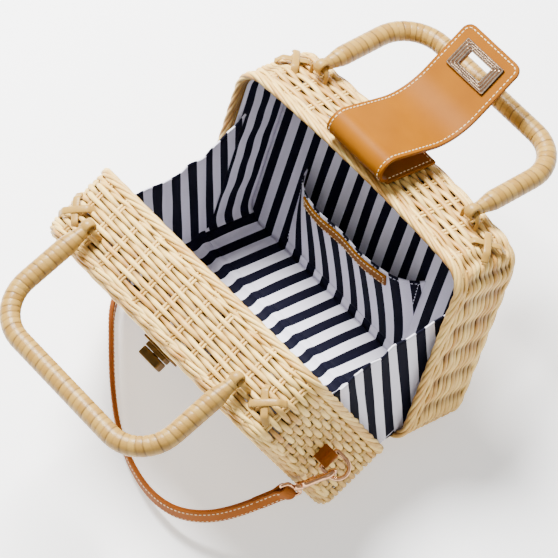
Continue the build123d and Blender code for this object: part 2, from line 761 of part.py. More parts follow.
# Strap: standing on edge, down to the table, round the left end and doubled up behind the bag
floor = strap_width / 2 + strap_floor_gap
strap_route = [
    tuple(strap_start),
    tuple(strap_start + right_pull * strap_first_run),
    (62, -140, 23.5),
    (35, -144, 14.5),
    (5, -139, 9.5),
    (-26, -127, 7),
    (-57, -108, floor),
    (-86, -86, floor),
    (-111, -66, floor),
    (-125, -38, floor),
    (-131, -6, floor),
    (-132, 24, floor),
    (-123, 53, floor),
    (-103, 73, floor),
    (-73, 79, floor),
    (-42, 80, floor),
    (-12, 80, floor),
    (12, 98, floor),
    (21, 126, floor),
    (12, 155, floor),
    (-12, 172, floor),
    (-42, 172, floor),
    (-74, 168, floor),
    (-103, 156, floor),
    (-126, 135, floor),
    (-138, 107, floor),
    (-141, 78, 13),
    (-135, 50, 27),
    tuple(strap_end + left_pull * strap_first_run),
    tuple(strap_end),
]
points = [Vector(*place) for place in strap_route]
bends = []
for before, here, after in zip(points, points[1:], points[2:]):
    turn = radians((here - before).get_angle(after - here))
    bends.append(0.45 * min((here - before).length, (after - here).length) / tan(turn / 2))
print("strap bend radii:", [round(bend) for bend in bends])
with BuildPart() as strap:
    with BuildLine() as route:
        FilletPolyline(*strap_route, radius=bends)
    heading = (points[1] - points[0]).normalized()
    with BuildSketch(Plane(points[0], x_dir=Vector(0, 0, 1) - heading * heading.Z, z_dir=heading)):
        Rectangle(strap_width, strap_thickness)
    sweep(path=route.wires()[0])
strap_length = route.wires()[0].length
print("strap length:", round(strap_length), "volume share:", strap.part.volume / (strap_length * strap_width * strap_thickness))
strap.part.label = "strap"
export_step(strap.part, "parts/strap.step")
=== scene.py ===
"""Looks of the wicker crossbody bag, built around its CAD frame.

Sizes are millimetres in the part's own frame, and meshes are made in metres.
"""

import logging
from dataclasses import dataclass
from enum import Enum
from math import ceil, cos, pi, radians, sin, sqrt

import bpy
import numpy as np
from mathutils import Matrix, Vector


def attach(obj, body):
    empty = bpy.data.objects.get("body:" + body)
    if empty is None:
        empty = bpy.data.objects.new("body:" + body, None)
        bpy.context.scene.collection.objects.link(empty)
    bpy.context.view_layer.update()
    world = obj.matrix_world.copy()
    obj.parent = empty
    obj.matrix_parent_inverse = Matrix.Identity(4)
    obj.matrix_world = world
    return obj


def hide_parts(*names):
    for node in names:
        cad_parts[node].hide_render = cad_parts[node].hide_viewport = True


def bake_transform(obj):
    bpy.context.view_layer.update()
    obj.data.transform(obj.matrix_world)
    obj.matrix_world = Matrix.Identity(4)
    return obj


logging.basicConfig(level=logging.INFO, format="%(message)s")
log = logging.getLogger("bag")

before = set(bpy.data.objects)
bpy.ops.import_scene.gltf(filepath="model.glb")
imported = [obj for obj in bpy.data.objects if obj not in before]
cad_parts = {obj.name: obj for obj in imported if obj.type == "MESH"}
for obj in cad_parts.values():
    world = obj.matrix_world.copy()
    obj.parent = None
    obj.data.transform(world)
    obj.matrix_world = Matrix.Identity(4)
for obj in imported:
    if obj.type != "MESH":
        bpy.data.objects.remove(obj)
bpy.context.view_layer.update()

Array = np.ndarray
Socket = bpy.types.NodeSocket
Colour = tuple[float, float, float, float]
MM = 0.001
ACROSS = np.array([1.0, 0.0, 0.0])
RISE = np.array([0.0, 0.0, 1.0])
ARC_POINTS = 12
# Corners of swept sections
THIN_SIDES = 6
STRAND_SIDES = 8
SMALL_WIRE_SIDES = 12
WIRE_SIDES = 14
ROUND_SIDES = 20
# Angles in degrees from which an edge stays sharp
NO_CREASE = 180.0
CREASE = 50.0
SHARP_CREASE = 30.0
# Sockets of the mix node that hold colours
MIX_INPUTS = (6, 7)
MIX_OUTPUT = 2


class Side(Enum):
    """The two trays, with the sign that mirrors the front one."""

    FRONT = 1
    BACK = -1


class End(Enum):
    """The two ends of the bag along the hinge."""

    RIGHT = 1
    LEFT = -1


def unit(vector: Array) -> Array:
    """Scale vectors to length one, each divided by the root of its summed squares."""
    return vector / np.linalg.norm(vector, axis=-1, keepdims=True)


def smooth(share: Array) -> Array:
    """Ease from 0 to 1: three times the square less twice the cube of each held share."""
    held = np.clip(share, 0.0, 1.0)
    return held * held * (3.0 - 2.0 * held)


def squared(wave: Array, power: float) -> Array:
    """Flatten a wave's crests: the power of each value with its sign kept."""
    return np.sign(wave) * np.abs(wave) ** power


def corner_angles(sides: int) -> Array:
    """List the even angles of a polygon's corners in radians, from zero on."""
    return np.arange(sides) * 2.0 * pi / sides


def walked(path: Array) -> Array:
    """Measure a path: the summed steps from its start to each of its points."""
    return np.concatenate([[0.0], np.cumsum(np.linalg.norm(np.diff(path, axis=0), axis=1))])


def places_at(path: Array, at: Array) -> Array:
    """Find the points at given lengths from a path's start, on straight lines between its own."""
    length = walked(path)
    return np.stack([np.interp(at, length, line) for line in path.T], -1)


@dataclass
class Shape:
    """Points in millimetres, blocks of faces, and values kept for each point."""

    points: Array
    faces: list[Array]
    values: dict[str, Array]

    def face_count(self) -> int:
        """Count the faces in all blocks."""
        return sum(len(block) for block in self.faces)


def join(shapes: list[Shape]) -> Shape:
    """Put several shapes into one.

    Args:
        shapes: the shapes, with any values; one that lacks a value gets zeros.

    Returns:
        One shape with all points and faces.
    """
    names = sorted({name for shape in shapes for name in shape.values})
    starts = np.cumsum([0] + [len(shape.points) for shape in shapes[:-1]])
    faces = [block + start for shape, start in zip(shapes, starts) for block in shape.faces]
    values = {
        name: np.concatenate([shape.values.get(name, np.zeros(len(shape.points))) for shape in shapes])
        for name in names
    }
    return Shape(np.concatenate([shape.points for shape in shapes]), faces, values)


def quad_faces(rows: int, columns: int, loop_rows: bool, loop_columns: bool) -> Array:
    """Join rows of points with faces of four corners.

    Args:
        rows: number of rows.
        columns: points in each row.
        loop_rows: whether the last row joins the first.
        loop_columns: whether the last column joins the first.

    Returns:
        The faces' corners, n by 4.
    """
    row = np.arange(rows if loop_rows else rows - 1)[:, None]
    column = np.arange(columns if loop_columns else columns - 1)
    start = row * columns
    ahead = (row + 1) % rows * columns
    beside = (column + 1) % columns
    corners = [start + column, start + beside, ahead + beside, ahead + column]
    return np.stack(corners, -1).reshape(-1, 4)


def tube(
    path: Array,
    side: Array,
    lift: Array,
    sides: int,
    closed: bool,
    values: dict[str, Array] | None = None,
    section: tuple[Array, Array] | None = None,
) -> Shape:
    """Sweep a section along a path.

    Each point is the path's point plus side and lift times the section's two coordinates. The
    plain section is an oval, the cosine and sine of an angle.

    Args:
        path: points along the middle, n by 3.
        side: half axis of the section, one for all points or one at each.
        lift: the other half axis, likewise.
        sides: corners of the section.
        closed: whether the path runs back into its start.
        values: named values, one per path point or one per path point and corner.
        section: coordinates of the corners, for all points or for each.

    Returns:
        The swept shape, with its ends capped where it is open.
    """
    count = len(path)
    side, lift = np.broadcast_to(side, path.shape), np.broadcast_to(lift, path.shape)
    angle = corner_angles(sides)
    wide, high = section or (np.cos(angle), np.sin(angle))
    ring = path[:, None] + side[:, None] * wide[..., None] + lift[:, None] * high[..., None]
    points = ring.reshape(-1, 3)
    flip = np.dot(np.cross(side[0], lift[0]), path[1] - path[0]) < 0
    blocks = [quad_faces(count, sides, closed, True)]
    if not closed:
        points = np.concatenate([points, path[:1], path[-1:]])
        turn = np.arange(sides)
        around = (turn + 1) % sides
        first = np.stack([np.full(sides, count * sides), around, turn], -1)
        last_ring = (count - 1) * sides
        last = np.stack([np.full(sides, count * sides + 1), last_ring + turn, last_ring + around], -1)
        blocks.append(np.concatenate([first, last]))
    if flip:
        blocks = [faces[:, ::-1] for faces in blocks]
    kept = {}
    for name, value in (values or {}).items():
        full = np.broadcast_to(value if value.ndim == 2 else value[:, None], (count, sides)).reshape(-1)
        kept[name] = full if closed else np.concatenate([full, full[:1], full[-1:]])
    return Shape(points, blocks, kept)


def grid(points: Array, outward: Array, values: dict[str, Array] | None = None) -> Shape:
    """Make a surface from rows of points.

    Args:
        points: n by m by 3, rows of points.
        outward: a direction that the middle face has to look along.
        values: named values, n by m.

    Returns:
        The surface, faces turned to look along outward.
    """
    quads = quad_faces(*points.shape[:2], False, False)
    flat = points.reshape(-1, 3)
    middle = quads[len(quads) // 2]
    normal = np.cross(flat[middle[1]] - flat[middle[0]], flat[middle[3]] - flat[middle[0]])
    if np.dot(normal, outward) < 0:
        quads = quads[:, ::-1]
    return Shape(flat, [quads], {name: value.reshape(-1) for name, value in (values or {}).items()})


def block(middle: Array, axes: list[Array], size: tuple[float, float, float]) -> Shape:
    """Make a box.

    Args:
        middle: its centre.
        axes: its three directions, right handed.
        size: its size along them.

    Returns:
        The box with six faces that look outward.
    """
    signs = np.array([[x, y, z] for z in (-1, 1) for y in (-1, 1) for x in (-1, 1)], float)
    points = middle + (signs * np.array(size) / 2.0) @ np.array(axes)
    faces = np.array(
        [[0, 2, 3, 1], [4, 5, 7, 6], [0, 1, 5, 4], [2, 6, 7, 3], [0, 4, 6, 2], [1, 3, 7, 5]]
    )
    return Shape(points, [faces], {})


def track(
    corners: list[tuple[float, float]], radius: float, step: float, closed: bool = False
) -> tuple[Array, Array]:
    """Run a flat path through corners and round them off.

    Each corner becomes an arc that touches both runs; the whole is sampled at even lengths.

    Args:
        corners: corner points.
        radius: radius of the rounded corners.
        step: length between samples.
        closed: whether the path runs back into its start.

    Returns:
        Sample points and the unit directions along the path, both n by 2.
    """
    places = np.array(corners, float)
    count = len(places)
    pieces = [] if closed else [places[:1]]
    for index in range(count) if closed else range(1, count - 1):
        here = places[index]
        before = unit(places[index - 1] - here)
        after = unit(places[(index + 1) % count] - here)
        half = np.arccos(np.clip(np.dot(before, after), -1, 1)) / 2.0
        reach = radius / np.tan(half)
        centre = here + unit(before + after) * radius / np.sin(half)
        start = here + before * reach - centre
        turn = np.sign(before[1] * after[0] - before[0] * after[1]) * (pi - 2.0 * half)
        angles = np.linspace(0.0, turn, ARC_POINTS)
        cosine, sine = np.cos(angles), np.sin(angles)
        spun = np.stack([start[0] * cosine - start[1] * sine, start[0] * sine + start[1] * cosine], -1)
        pieces.append(centre + spun)
    if not closed:
        pieces.append(places[-1:])
    run = np.concatenate(pieces)
    if closed:
        run = np.concatenate([run, run[:1]])
    length = walked(run)[-1]
    at = np.linspace(0.0, length, ceil(length / step) + 1)
    even = places_at(run, at[:-1] if closed else at)
    if closed:
        direction = np.roll(even, -1, 0) - np.roll(even, 1, 0)
    else:
        direction = np.gradient(even, axis=0)
    return even, unit(direction)


def plane_tube(
    path: tuple[Array, Array],
    origin: Array,
    axes: tuple[Array, Array],
    radii: tuple[float, float],
    sides: int,
    closed: bool,
    values: dict[str, Array] | None = None,
    section: tuple[Array, Array] | None = None,
) -> Shape:
    """Sweep a section along a flat path that is placed in space.

    Args:
        path: points and directions from track.
        origin: where the flat path's zero lies.
        axes: the flat path's two directions in space.
        radii: half axis in the plane and across it.
        sides: corners of the section.
        closed: whether the path is closed.
        values: named values, as for a tube.
        section: coordinates of the corners, as for a tube.

    Returns:
        The swept shape.
    """
    points, along = path
    plane = np.array(axes)
    normal = np.stack([along[:, 1], -along[:, 0]], -1) @ plane
    across = np.cross(axes[0], axes[1])
    middle = origin + points @ plane
    return tube(middle, normal * radii[0], across * radii[1], sides, closed, values, section)


def plain_ends(shape: Shape) -> Shape:
    """Take the values off an open tube's last two points, the middles of its caps."""
    for value in shape.values.values():
        value[-2:] = 0.0
    return shape


def leather_band(
    path: Array, width_way: Array, thick_way: Array, size: tuple[float, float], sides: int, power: float
) -> Shape:
    """Sweep a leather band along a path.

    Its section is a superellipse, nearly a rectangle. The points on its narrow sides count as cut
    edges.

    Args:
        path: points along the middle, n by 3.
        width_way: unit direction of the width, one for all points or one at each.
        thick_way: unit direction of the thickness, one at each point.
        size: width and thickness.
        sides: corners of the section.
        power: how square the thickness is.

    Returns:
        The band.
    """
    angle = corner_angles(sides)
    wide, thick = squared(np.cos(angle), 0.35), squared(np.sin(angle), power)
    edge = np.where(np.abs(wide) > 0.99, 0.8, 0.0)
    values = {"gap": np.broadcast_to(edge, (len(path), sides))}
    section = (wide * size[0] / 2.0, thick * size[1] / 2.0)
    return plain_ends(tube(path, width_way, thick_way, sides, False, values, section))


def stitches(places: Array, along: Array, out: Array, length: float, width: float) -> Shape:
    """Lay thread stitches.

    Each stitch is a six-sided bar that is thick in its middle and sinks at both ends.

    Args:
        places: middles of the stitches, n by 3.
        along: their unit directions, n by 3.
        out: unit direction out of the surface, one for all or one for each.
        length: length of a stitch.
        width: thickness of the thread.

    Returns:
        All the stitches as one shape.
    """
    angle = corner_angles(THIN_SIDES)
    stations = np.array([-0.5, -0.25, 0.25, 0.5])
    swell = np.array([0.45, 1.0, 1.0, 0.45])[:, None]
    sink = np.array([-0.35, 0.15, 0.15, -0.35])[:, None]
    side_wave = swell * np.cos(angle)
    lift_wave = swell * np.sin(angle) + sink
    run = np.broadcast_to((stations * length)[:, None], side_wave.shape)
    template = np.stack([run, side_wave * width / 2.0, lift_wave * width / 2.0], -1).reshape(-1, 3)
    out = np.broadcast_to(out, along.shape)
    axes = np.stack([along, np.cross(out, along), out], 1)
    points = places[:, None] + template @ axes
    quads = quad_faces(len(stations), THIN_SIDES, False, True)
    first = np.arange(THIN_SIDES)
    last = first + len(template) - THIN_SIDES
    ends = np.array([np.roll(first[::-1], 1), last])
    shift = (np.arange(len(places)) * len(template))[:, None, None]
    faces = [(quads + shift).reshape(-1, 4), (ends + shift).reshape(-1, THIN_SIDES)]
    return Shape(points.reshape(-1, 3), faces, {})


def spaced(path: Array, pitch: float, margin: float = 0.0) -> tuple[Array, Array]:
    """Take even places along a path.

    Args:
        path: points, n by 3.
        pitch: length between places.
        margin: length left free at both ends.

    Returns:
        The places and the unit directions there.
    """
    nudge = 0.2
    room = walked(path)[-1] - 2.0 * margin
    count = max(2, int(room / pitch))
    at = margin + (np.arange(count) + 0.5) * room / count
    return places_at(path, at), unit(places_at(path, at + nudge) - places_at(path, at - nudge))


def linear(red: float, green: float, blue: float) -> Colour:
    """Turn a screen colour into a shading colour.

    Args:
        red: 0 to 255.
        green: 0 to 255.
        blue: 0 to 255.

    Returns:
        Linear red, green and blue, and 1 for full cover.
    """
    share = np.array([red, green, blue]) / 255.0
    low = share / 12.92
    high = ((share + 0.055) / 1.055) ** 2.4
    mixed = np.where(share <= 0.04045, low, high)
    return (float(mixed[0]), float(mixed[1]), float(mixed[2]), 1.0)


class Paint:
    """A node material while it is put together."""

    def __init__(self, name: str) -> None:
        """Start a material with one shader.

        Args:
            name: the material's name.
        """
        self.material = bpy.data.materials.new(name)
        self.material.use_nodes = True
        self.nodes = self.material.node_tree.nodes
        self.links = self.material.node_tree.links
        self.shader = self.nodes["Principled BSDF"]

    def attribute(self, name: str) -> Socket:
        """Read a value kept on the mesh.

        Args:
            name: the attribute's name.

        Returns:
            The socket with the value.
        """
        node = self.nodes.new("ShaderNodeAttribute")
        node.attribute_name = name
        return node.outputs["Fac"]

    def noise(self, scale: float, detail: float) -> Socket:
        """Make soft noise in the object's own space.

        Args:
            scale: features per metre.
            detail: layers of finer noise.

        Returns:
            The socket with the noise, about 0.5 on average.
        """
        place = self.nodes.new("ShaderNodeTexCoord")
        noise = self.nodes.new("ShaderNodeTexNoise")
        noise.inputs["Scale"].default_value = scale
        noise.inputs["Detail"].default_value = detail
        self.links.new(place.outputs["Object"], noise.inputs["Vector"])
        return noise.outputs["Fac"]

    def math(
        self, operation: str, first: Socket, second: Socket | float = 0.0, clamp: bool = False
    ) -> Socket:
        """Do one sum.

        Args:
            operation: its Blender name.
            first: a socket.
            second: a socket or a number.
            clamp: whether the result is held between 0 and 1.

        Returns:
            The socket with the result.
        """
        node = self.nodes.new("ShaderNodeMath")
        node.operation = operation
        node.use_clamp = clamp
        self.links.new(first, node.inputs[0])
        if isinstance(second, (int, float)):
            node.inputs[1].default_value = second
        else:
            self.links.new(second, node.inputs[1])
        return node.outputs[0]

    def blend(self, factor: Socket, first: Socket | Colour, second: Socket | Colour) -> Socket:
        """Mix two colours.

        Args:
            factor: the socket with the second one's share.
            first: a colour or a socket.
            second: a colour or a socket.

        Returns:
            The socket with the mixed colour.
        """
        node = self.nodes.new("ShaderNodeMix")
        node.data_type = "RGBA"
        self.links.new(factor, node.inputs[0])
        for index, colour in zip(MIX_INPUTS, (first, second)):
            if isinstance(colour, tuple):
                node.inputs[index].default_value = colour
            else:
                self.links.new(colour, node.inputs[index])
        return node.outputs[MIX_OUTPUT]

    def bump(self, height: Socket, strength: float, distance: float) -> None:
        """Roughen the surface.

        Args:
            height: the socket with the height.
            strength: how strong it shows.
            distance: how deep it is, in metres.
        """
        node = self.nodes.new("ShaderNodeBump")
        node.inputs["Strength"].default_value = strength
        node.inputs["Distance"].default_value = distance
        self.links.new(height, node.inputs["Height"])
        self.links.new(node.outputs["Normal"], self.shader.inputs["Normal"])

    def gloss(self, roughness: float, level: float) -> None:
        """Set how matt the surface is, 0 to 1, and how strongly it reflects, 0.5 for plain plastic."""
        self.shader.inputs["Roughness"].default_value = roughness
        self.shader.inputs["Specular IOR Level"].default_value = level

    def colour(self, socket: Socket) -> None:
        """Feed the base colour from a socket."""
        self.links.new(socket, self.shader.inputs["Base Color"])


@dataclass(frozen=True)
class FibreFinish:
    """Cane or reed: strands of uneven tone, with painted shade where they lie deep."""

    name: str
    slot: str
    pale: Colour
    deep: Colour
    # Dark colour of the painted shade.
    gap: Colour
    roughness: float

    def make(self) -> bpy.types.Material:
        """Build the material.

        Returns:
            The material.
        """
        paint = Paint(self.name)
        mottle = paint.noise(scale=150.0, detail=4.0)
        tone = paint.math("ADD", paint.attribute("tone"), paint.math("MULTIPLY", mottle, 0.9))
        share = paint.math("SUBTRACT", tone, 0.45, clamp=True)
        strand = paint.blend(share, self.pale, self.deep)
        # Painted shade: the gap value mixes in the gap colour where strands lie deep, on their inner sides
        # and in the wrap's grooves.
        paint.colour(paint.blend(paint.attribute("gap"), strand, self.gap))
        paint.gloss(self.roughness, level=0.25)
        paint.bump(paint.noise(scale=900.0, detail=3.0), strength=0.35, distance=0.0004)
        return paint.material


@dataclass(frozen=True)
class ClothFinish:
    """Woven cloth with even stripes."""

    name: str
    slot: str
    dark: Colour
    light: Colour
    period: float
    roughness: float

    def make(self) -> bpy.types.Material:
        """Build the material.

        Returns:
            The material, which reads the place across the stripes from the mesh.
        """
        paint = Paint(self.name)
        turn = paint.math("DIVIDE", paint.attribute("stripe"), self.period)
        band = paint.math("GREATER_THAN", paint.math("FRACT", turn), 0.5)
        stripes = paint.blend(band, self.dark, self.light)
        shade = paint.math("MULTIPLY", paint.noise(scale=2600.0, detail=2.0), 0.22)
        paint.colour(paint.blend(shade, stripes, self.dark))
        paint.gloss(self.roughness, level=0.08)
        paint.bump(paint.noise(scale=3200.0, detail=1.0), strength=0.25, distance=0.0002)
        return paint.material


@dataclass(frozen=True)
class LeatherFinish:
    """Smooth tanned leather with darker cut edges."""

    name: str
    slot: str
    colour: Colour
    deep: Colour
    roughness: float

    def make(self) -> bpy.types.Material:
        """Build the material.

        Returns:
            The material.
        """
        paint = Paint(self.name)
        cloud = paint.math("SUBTRACT", paint.noise(scale=38.0, detail=3.0), 0.32, clamp=True)
        hide = paint.blend(cloud, self.colour, self.deep)
        paint.colour(paint.blend(paint.attribute("gap"), hide, self.deep))
        paint.gloss(self.roughness, level=0.06)
        paint.bump(paint.noise(scale=1500.0, detail=3.0), strength=0.2, distance=0.0002)
        return paint.material


@dataclass(frozen=True)
class MetalFinish:
    """Plated metal, polished or worn, with dark blotches that stand for wear and, on the polished gold,
    also for painted dark reflections.
    """

    name: str
    slot: str
    colour: Colour
    wear_and_reflection_colour: Colour
    age: float
    roughness: float

    def make(self) -> bpy.types.Material:
        """Build the material.

        Returns:
            The material.
        """
        paint = Paint(self.name)
        # Dark blotches: wear, and on the polished gold also painted dark reflections.
        wear_and_reflection = paint.math("MULTIPLY", paint.noise(scale=240.0, detail=4.0), self.age)
        paint.colour(paint.blend(wear_and_reflection, self.colour, self.wear_and_reflection_colour))
        paint.shader.inputs["Metallic"].default_value = 1.0
        haze = paint.math("MULTIPLY", paint.noise(scale=600.0, detail=2.0), 0.16)
        rough = paint.math("ADD", haze, self.roughness)
        paint.links.new(rough, paint.shader.inputs["Roughness"])
        return paint.material


@dataclass(frozen=True)
class ThreadFinish:
    """Waxed sewing thread."""

    name: str
    slot: str
    colour: Colour
    deep: Colour

    def make(self) -> bpy.types.Material:
        """Build the material.

        Returns:
            The material.
        """
        paint = Paint(self.name)
        paint.colour(paint.blend(paint.noise(scale=2400.0, detail=1.0), self.colour, self.deep))
        paint.shader.inputs["Roughness"].default_value = 0.6
        return paint.material


Finish = FibreFinish | ClothFinish | LeatherFinish | MetalFinish | ThreadFinish

# The third colour of each fibre finish is the dark colour of its painted shade.
WICKER = FibreFinish(
    "wicker", "wicker", linear(240, 203, 118), linear(180, 124, 46), linear(84, 46, 14), roughness=0.42
)
CANE = FibreFinish(
    "cane", "cane", linear(168, 132, 62), linear(139, 101, 40), linear(58, 38, 18), roughness=0.36
)
CLOTH = ClothFinish(
    "striped_cloth", "striped_cloth", linear(10, 10, 26), linear(236, 233, 245), period=15.0, roughness=0.75
)
FLAP_LEATHER = LeatherFinish(
    "flap_leather", "tan_leather", linear(132, 78, 0), linear(108, 58, 0), roughness=0.52
)
STRAP_LEATHER = LeatherFinish(
    "strap_leather", "tan_leather", linear(140, 76, 14), linear(106, 50, 7), roughness=0.52
)
# The gold's dark second colour is partly wear and partly painted dark reflection.
GOLD = MetalFinish(
    "gold_metal", "gold_metal", linear(236, 184, 140), linear(120, 66, 36), age=0.8, roughness=0.06
)
PLATE = MetalFinish(
    "plate_metal", "gold_metal", linear(104, 74, 52), linear(30, 20, 14), age=1.0, roughness=0.3
)
RIBS = MetalFinish(
    "rib_metal", "gold_metal", linear(238, 222, 200), linear(128, 96, 72), age=0.7, roughness=0.1
)
BRASS = MetalFinish(
    "antique_brass", "antique_brass", linear(132, 100, 52), linear(54, 38, 16), age=0.9, roughness=0.24
)
PALE_THREAD = ThreadFinish("pale_thread", "tan_leather", linear(240, 222, 180), linear(214, 184, 130))
WHITE_THREAD = ThreadFinish("white_thread", "striped_cloth", linear(236, 236, 244), linear(200, 200, 214))


class Maker:
    """Turns shapes into pieces of the scene and keeps the materials."""

    def __init__(self) -> None:
        """Start with no materials."""
        self.materials: dict[str, bpy.types.Material] = {}

    def material(self, finish: Finish) -> bpy.types.Material:
        """Get a finish's material, built once.

        Args:
            finish: one of the finishes.

        Returns:
            The material.
        """
        if finish.name not in self.materials:
            self.materials[finish.name] = finish.make()
        return self.materials[finish.name]

    def piece(
        self,
        name: str,
        shape: Shape,
        finish: Finish,
        body: str | None,
        replaces: tuple[str, ...] = (),
        crease: float = CREASE,
    ) -> bpy.types.Object:
        """Make one piece of the scene.

        Args:
            name: the piece's name.
            shape: its points and faces.
            finish: its finish.
            body: the CAD body that it rides on, or None.
            replaces: CAD nodes that it stands for.
            crease: angle in degrees from which an edge stays sharp.

        Returns:
            The new object.
        """
        mesh = bpy.data.meshes.new(name)
        faces = [face for rows in shape.faces for face in rows.tolist()]
        mesh.from_pydata((shape.points * MM).tolist(), [], faces)
        for value_name, value in shape.values.items():
            attribute = mesh.attributes.new(value_name, "FLOAT", "POINT")
            attribute.data.foreach_set("value", value.astype(np.float32))
        mesh.polygons.foreach_set("use_smooth", np.ones(len(mesh.polygons), bool))
        mesh.set_sharp_from_angle(angle=radians(crease))
        mesh.materials.append(self.material(finish))
        item = bpy.data.objects.new(name, mesh)
        bpy.context.scene.collection.objects.link(item)
        if body is not None:
            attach(item, body)
        if replaces:
            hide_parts(*replaces)
        log.info("%s: %d faces", name, shape.face_count())
        return item

    def thicken(self, item: bpy.types.Object, thickness: float, edge: float) -> None:
        """Give a surface its thickness on both sides and soften its edges.

        Args:
            item: the piece.
            thickness: in millimetres.
            edge: width of the softened edge in millimetres.
        """
        solid = item.modifiers.new("thickness", "SOLIDIFY")
        solid.thickness = thickness * MM
        solid.offset = 0.0
        if edge > 0:
            self.soften(item, edge)

    def soften(self, item: bpy.types.Object, edge: float) -> None:
        """Round off sharp edges.

        Args:
            item: the piece.
            edge: width of the rounding in millimetres.
        """
        bevel = item.modifiers.new("edge", "BEVEL")
        bevel.width = edge * MM
        bevel.segments = 3
        bevel.limit_method = "ANGLE"
        bevel.angle_limit = radians(40.0)
        bevel.harden_normals = True

    def paint_node(self, node: str, finish: Finish) -> None:
        """Give a CAD node that stays in view its finish.

        Args:
            node: the node's name.
            finish: the finish.
        """
        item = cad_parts[node]
        item.data.materials.clear()
        item.data.materials.append(self.material(finish))


@dataclass(frozen=True)
class BagSizes:
    """Main sizes of the bag, the same as in the part's source."""

    width: float = 230.0
    height: float = 165.0
    crown: float = 6.0
    corner: float = 22.0
    depth: float = 60.0
    tilt: float = 20.5
    base_round: float = 9.0
    border: float = 8.0
    hinge_drop: float = 4.6
    handle_spread: float = 77.0
    handle_depth: float = 38.0
    handle_rise: float = 9.0

    @property
    def hinge_height(self) -> float:
        """Height of the hinge above the table."""
        lean = radians(self.tilt)
        edge = (self.depth - self.base_round) * sin(lean) + self.base_round
        return edge - (self.base_round + self.hinge_drop) * cos(lean)

    @property
    def crown_radius(self) -> float:
        """Radius of the long arc of the top edge."""
        return ((self.width / 2.0) ** 2 + self.crown**2) / (2.0 * self.crown)

    @property
    def crown_centre(self) -> float:
        """Height of that arc's centre."""
        return self.height + self.crown - self.crown_radius

    @property
    def corner_run(self) -> float:
        """Distance of the corner centres from the middle."""
        return self.width / 2.0 - self.corner

    @property
    def top_corner_centre(self) -> float:
        """Height of the top corners' centres."""
        return self.crown_centre + sqrt((self.crown_radius - self.corner) ** 2 - self.corner_run**2)

    def top(self, x: Array) -> Array:
        """Height of the crowned top: the arc's centre plus the root of radius squared less x squared."""
        return self.crown_centre + np.sqrt(self.crown_radius**2 - np.square(x))


BAG = BagSizes()


class Half:
    """One tray's own directions: across, up along its height, out through its depth."""

    def __init__(self, side: Side) -> None:
        """Set up the directions.

        Args:
            side: which tray.
        """
        lean = radians(BAG.tilt)
        self.name = side.name.lower()
        self.body = f"{self.name}_half"
        self.up = np.array([0.0, -side.value * sin(lean), cos(lean)])
        self.out = np.array([0.0, -side.value * cos(lean), -sin(lean)])
        self.corner = np.array([0.0, 0.0, BAG.hinge_height]) + self.up * BAG.hinge_drop

    def place(self, x: Array, height: Array, depth: Array) -> Array:
        """Place points given along, up and out of this half.

        Args:
            x: along the bag.
            height: up from the bottom edge.
            depth: out from the mouth.

        Returns:
            Points in the part's frame.
        """
        x, height, depth = np.broadcast_arrays(x, height, depth)
        spread = x[..., None] * ACROSS + height[..., None] * self.up + depth[..., None] * self.out
        return self.corner + spread


class Outline:
    """The rounded outline of a tray, walked anticlockwise from the middle of its bottom."""

    def __init__(self) -> None:
        """List the runs and arcs of the outline."""
        run, low, high = BAG.corner_run, BAG.corner, BAG.top_corner_centre
        lean = np.arctan2(run, high - BAG.crown_centre)
        quarter = pi / 2.0
        corner, crown, end_run = BAG.corner, BAG.crown_radius, high - low
        low_arc, high_arc = corner * quarter, corner * (quarter - lean)
        self.runs = [
            ("line", (0.0, 0.0), (1.0, 0.0), run),
            ("arc", (run, low), (corner, -quarter), low_arc),
            ("line", (run + corner, low), (0.0, 1.0), end_run),
            ("arc", (run, high), (corner, 0.0), high_arc),
            ("arc", (0.0, BAG.crown_centre), (crown, quarter - lean), crown * 2.0 * lean),
            ("arc", (-run, high), (corner, quarter + lean), high_arc),
            ("line", (-run - corner, high), (0.0, -1.0), end_run),
            ("arc", (-run, low), (corner, pi), low_arc),
            ("line", (-run, 0.0), (1.0, 0.0), run),
        ]
        walk = np.concatenate([[0.0], np.cumsum([length for *_, length in self.runs])])
        self.length = float(walk[-1])
        self.marks = walk / self.length

    def at(self, share: Array) -> tuple[Array, Array]:
        """Walk along the outline.

        Args:
            share: shares of the whole way round.

        Returns:
            Places and outward unit normals, both n by 2.
        """
        walk = np.mod(share, 1.0) * self.length
        places = np.zeros((len(walk), 2))
        normals = np.zeros((len(walk), 2))
        start = 0.0
        for kind, origin, data, length in self.runs:
            here = (walk >= start) & (walk <= start + length)
            along = walk[here] - start
            if kind == "line":
                places[here] = np.array(origin) + along[:, None] * np.array(data)
                normals[here] = (data[1], -data[0])
            else:
                angle = data[1] + along / data[0]
                normals[here] = np.stack([np.cos(angle), np.sin(angle)], -1)
                places[here] = np.array(origin) + data[0] * normals[here]
            start += length
        return places, normals


OUTLINE = Outline()


def panel_reach(height: Array, inset: float) -> Array:
    """Half width of a tray's panel at a height.

    Args:
        height: heights at the corners.
        inset: how far inside the outline.

    Returns:
        The straight side's reach, less what the corner arcs take.
    """
    reach = BAG.corner - inset
    below = np.clip(BAG.corner - height, 0.0, reach)
    above = np.clip(height - BAG.top_corner_centre, 0.0, reach)
    return BAG.corner_run + np.sqrt(reach**2 - np.maximum(below, above) ** 2)


def painted_shade_at(sunk: Array, angle: Array, painted_shade: float = 1.0) -> Array:
    """Paint shade on a strand's corners by their depth in the weave, or on its inner side where that is
    more.
    """
    # The inner side, facing into the tray, gets painted shade as well.
    inner = smooth(0.55 - np.cos(angle))
    return np.maximum(painted_shade * smooth((sunk - 1.3) / 2.6), (0.55 + 0.35 * painted_shade) * inner)


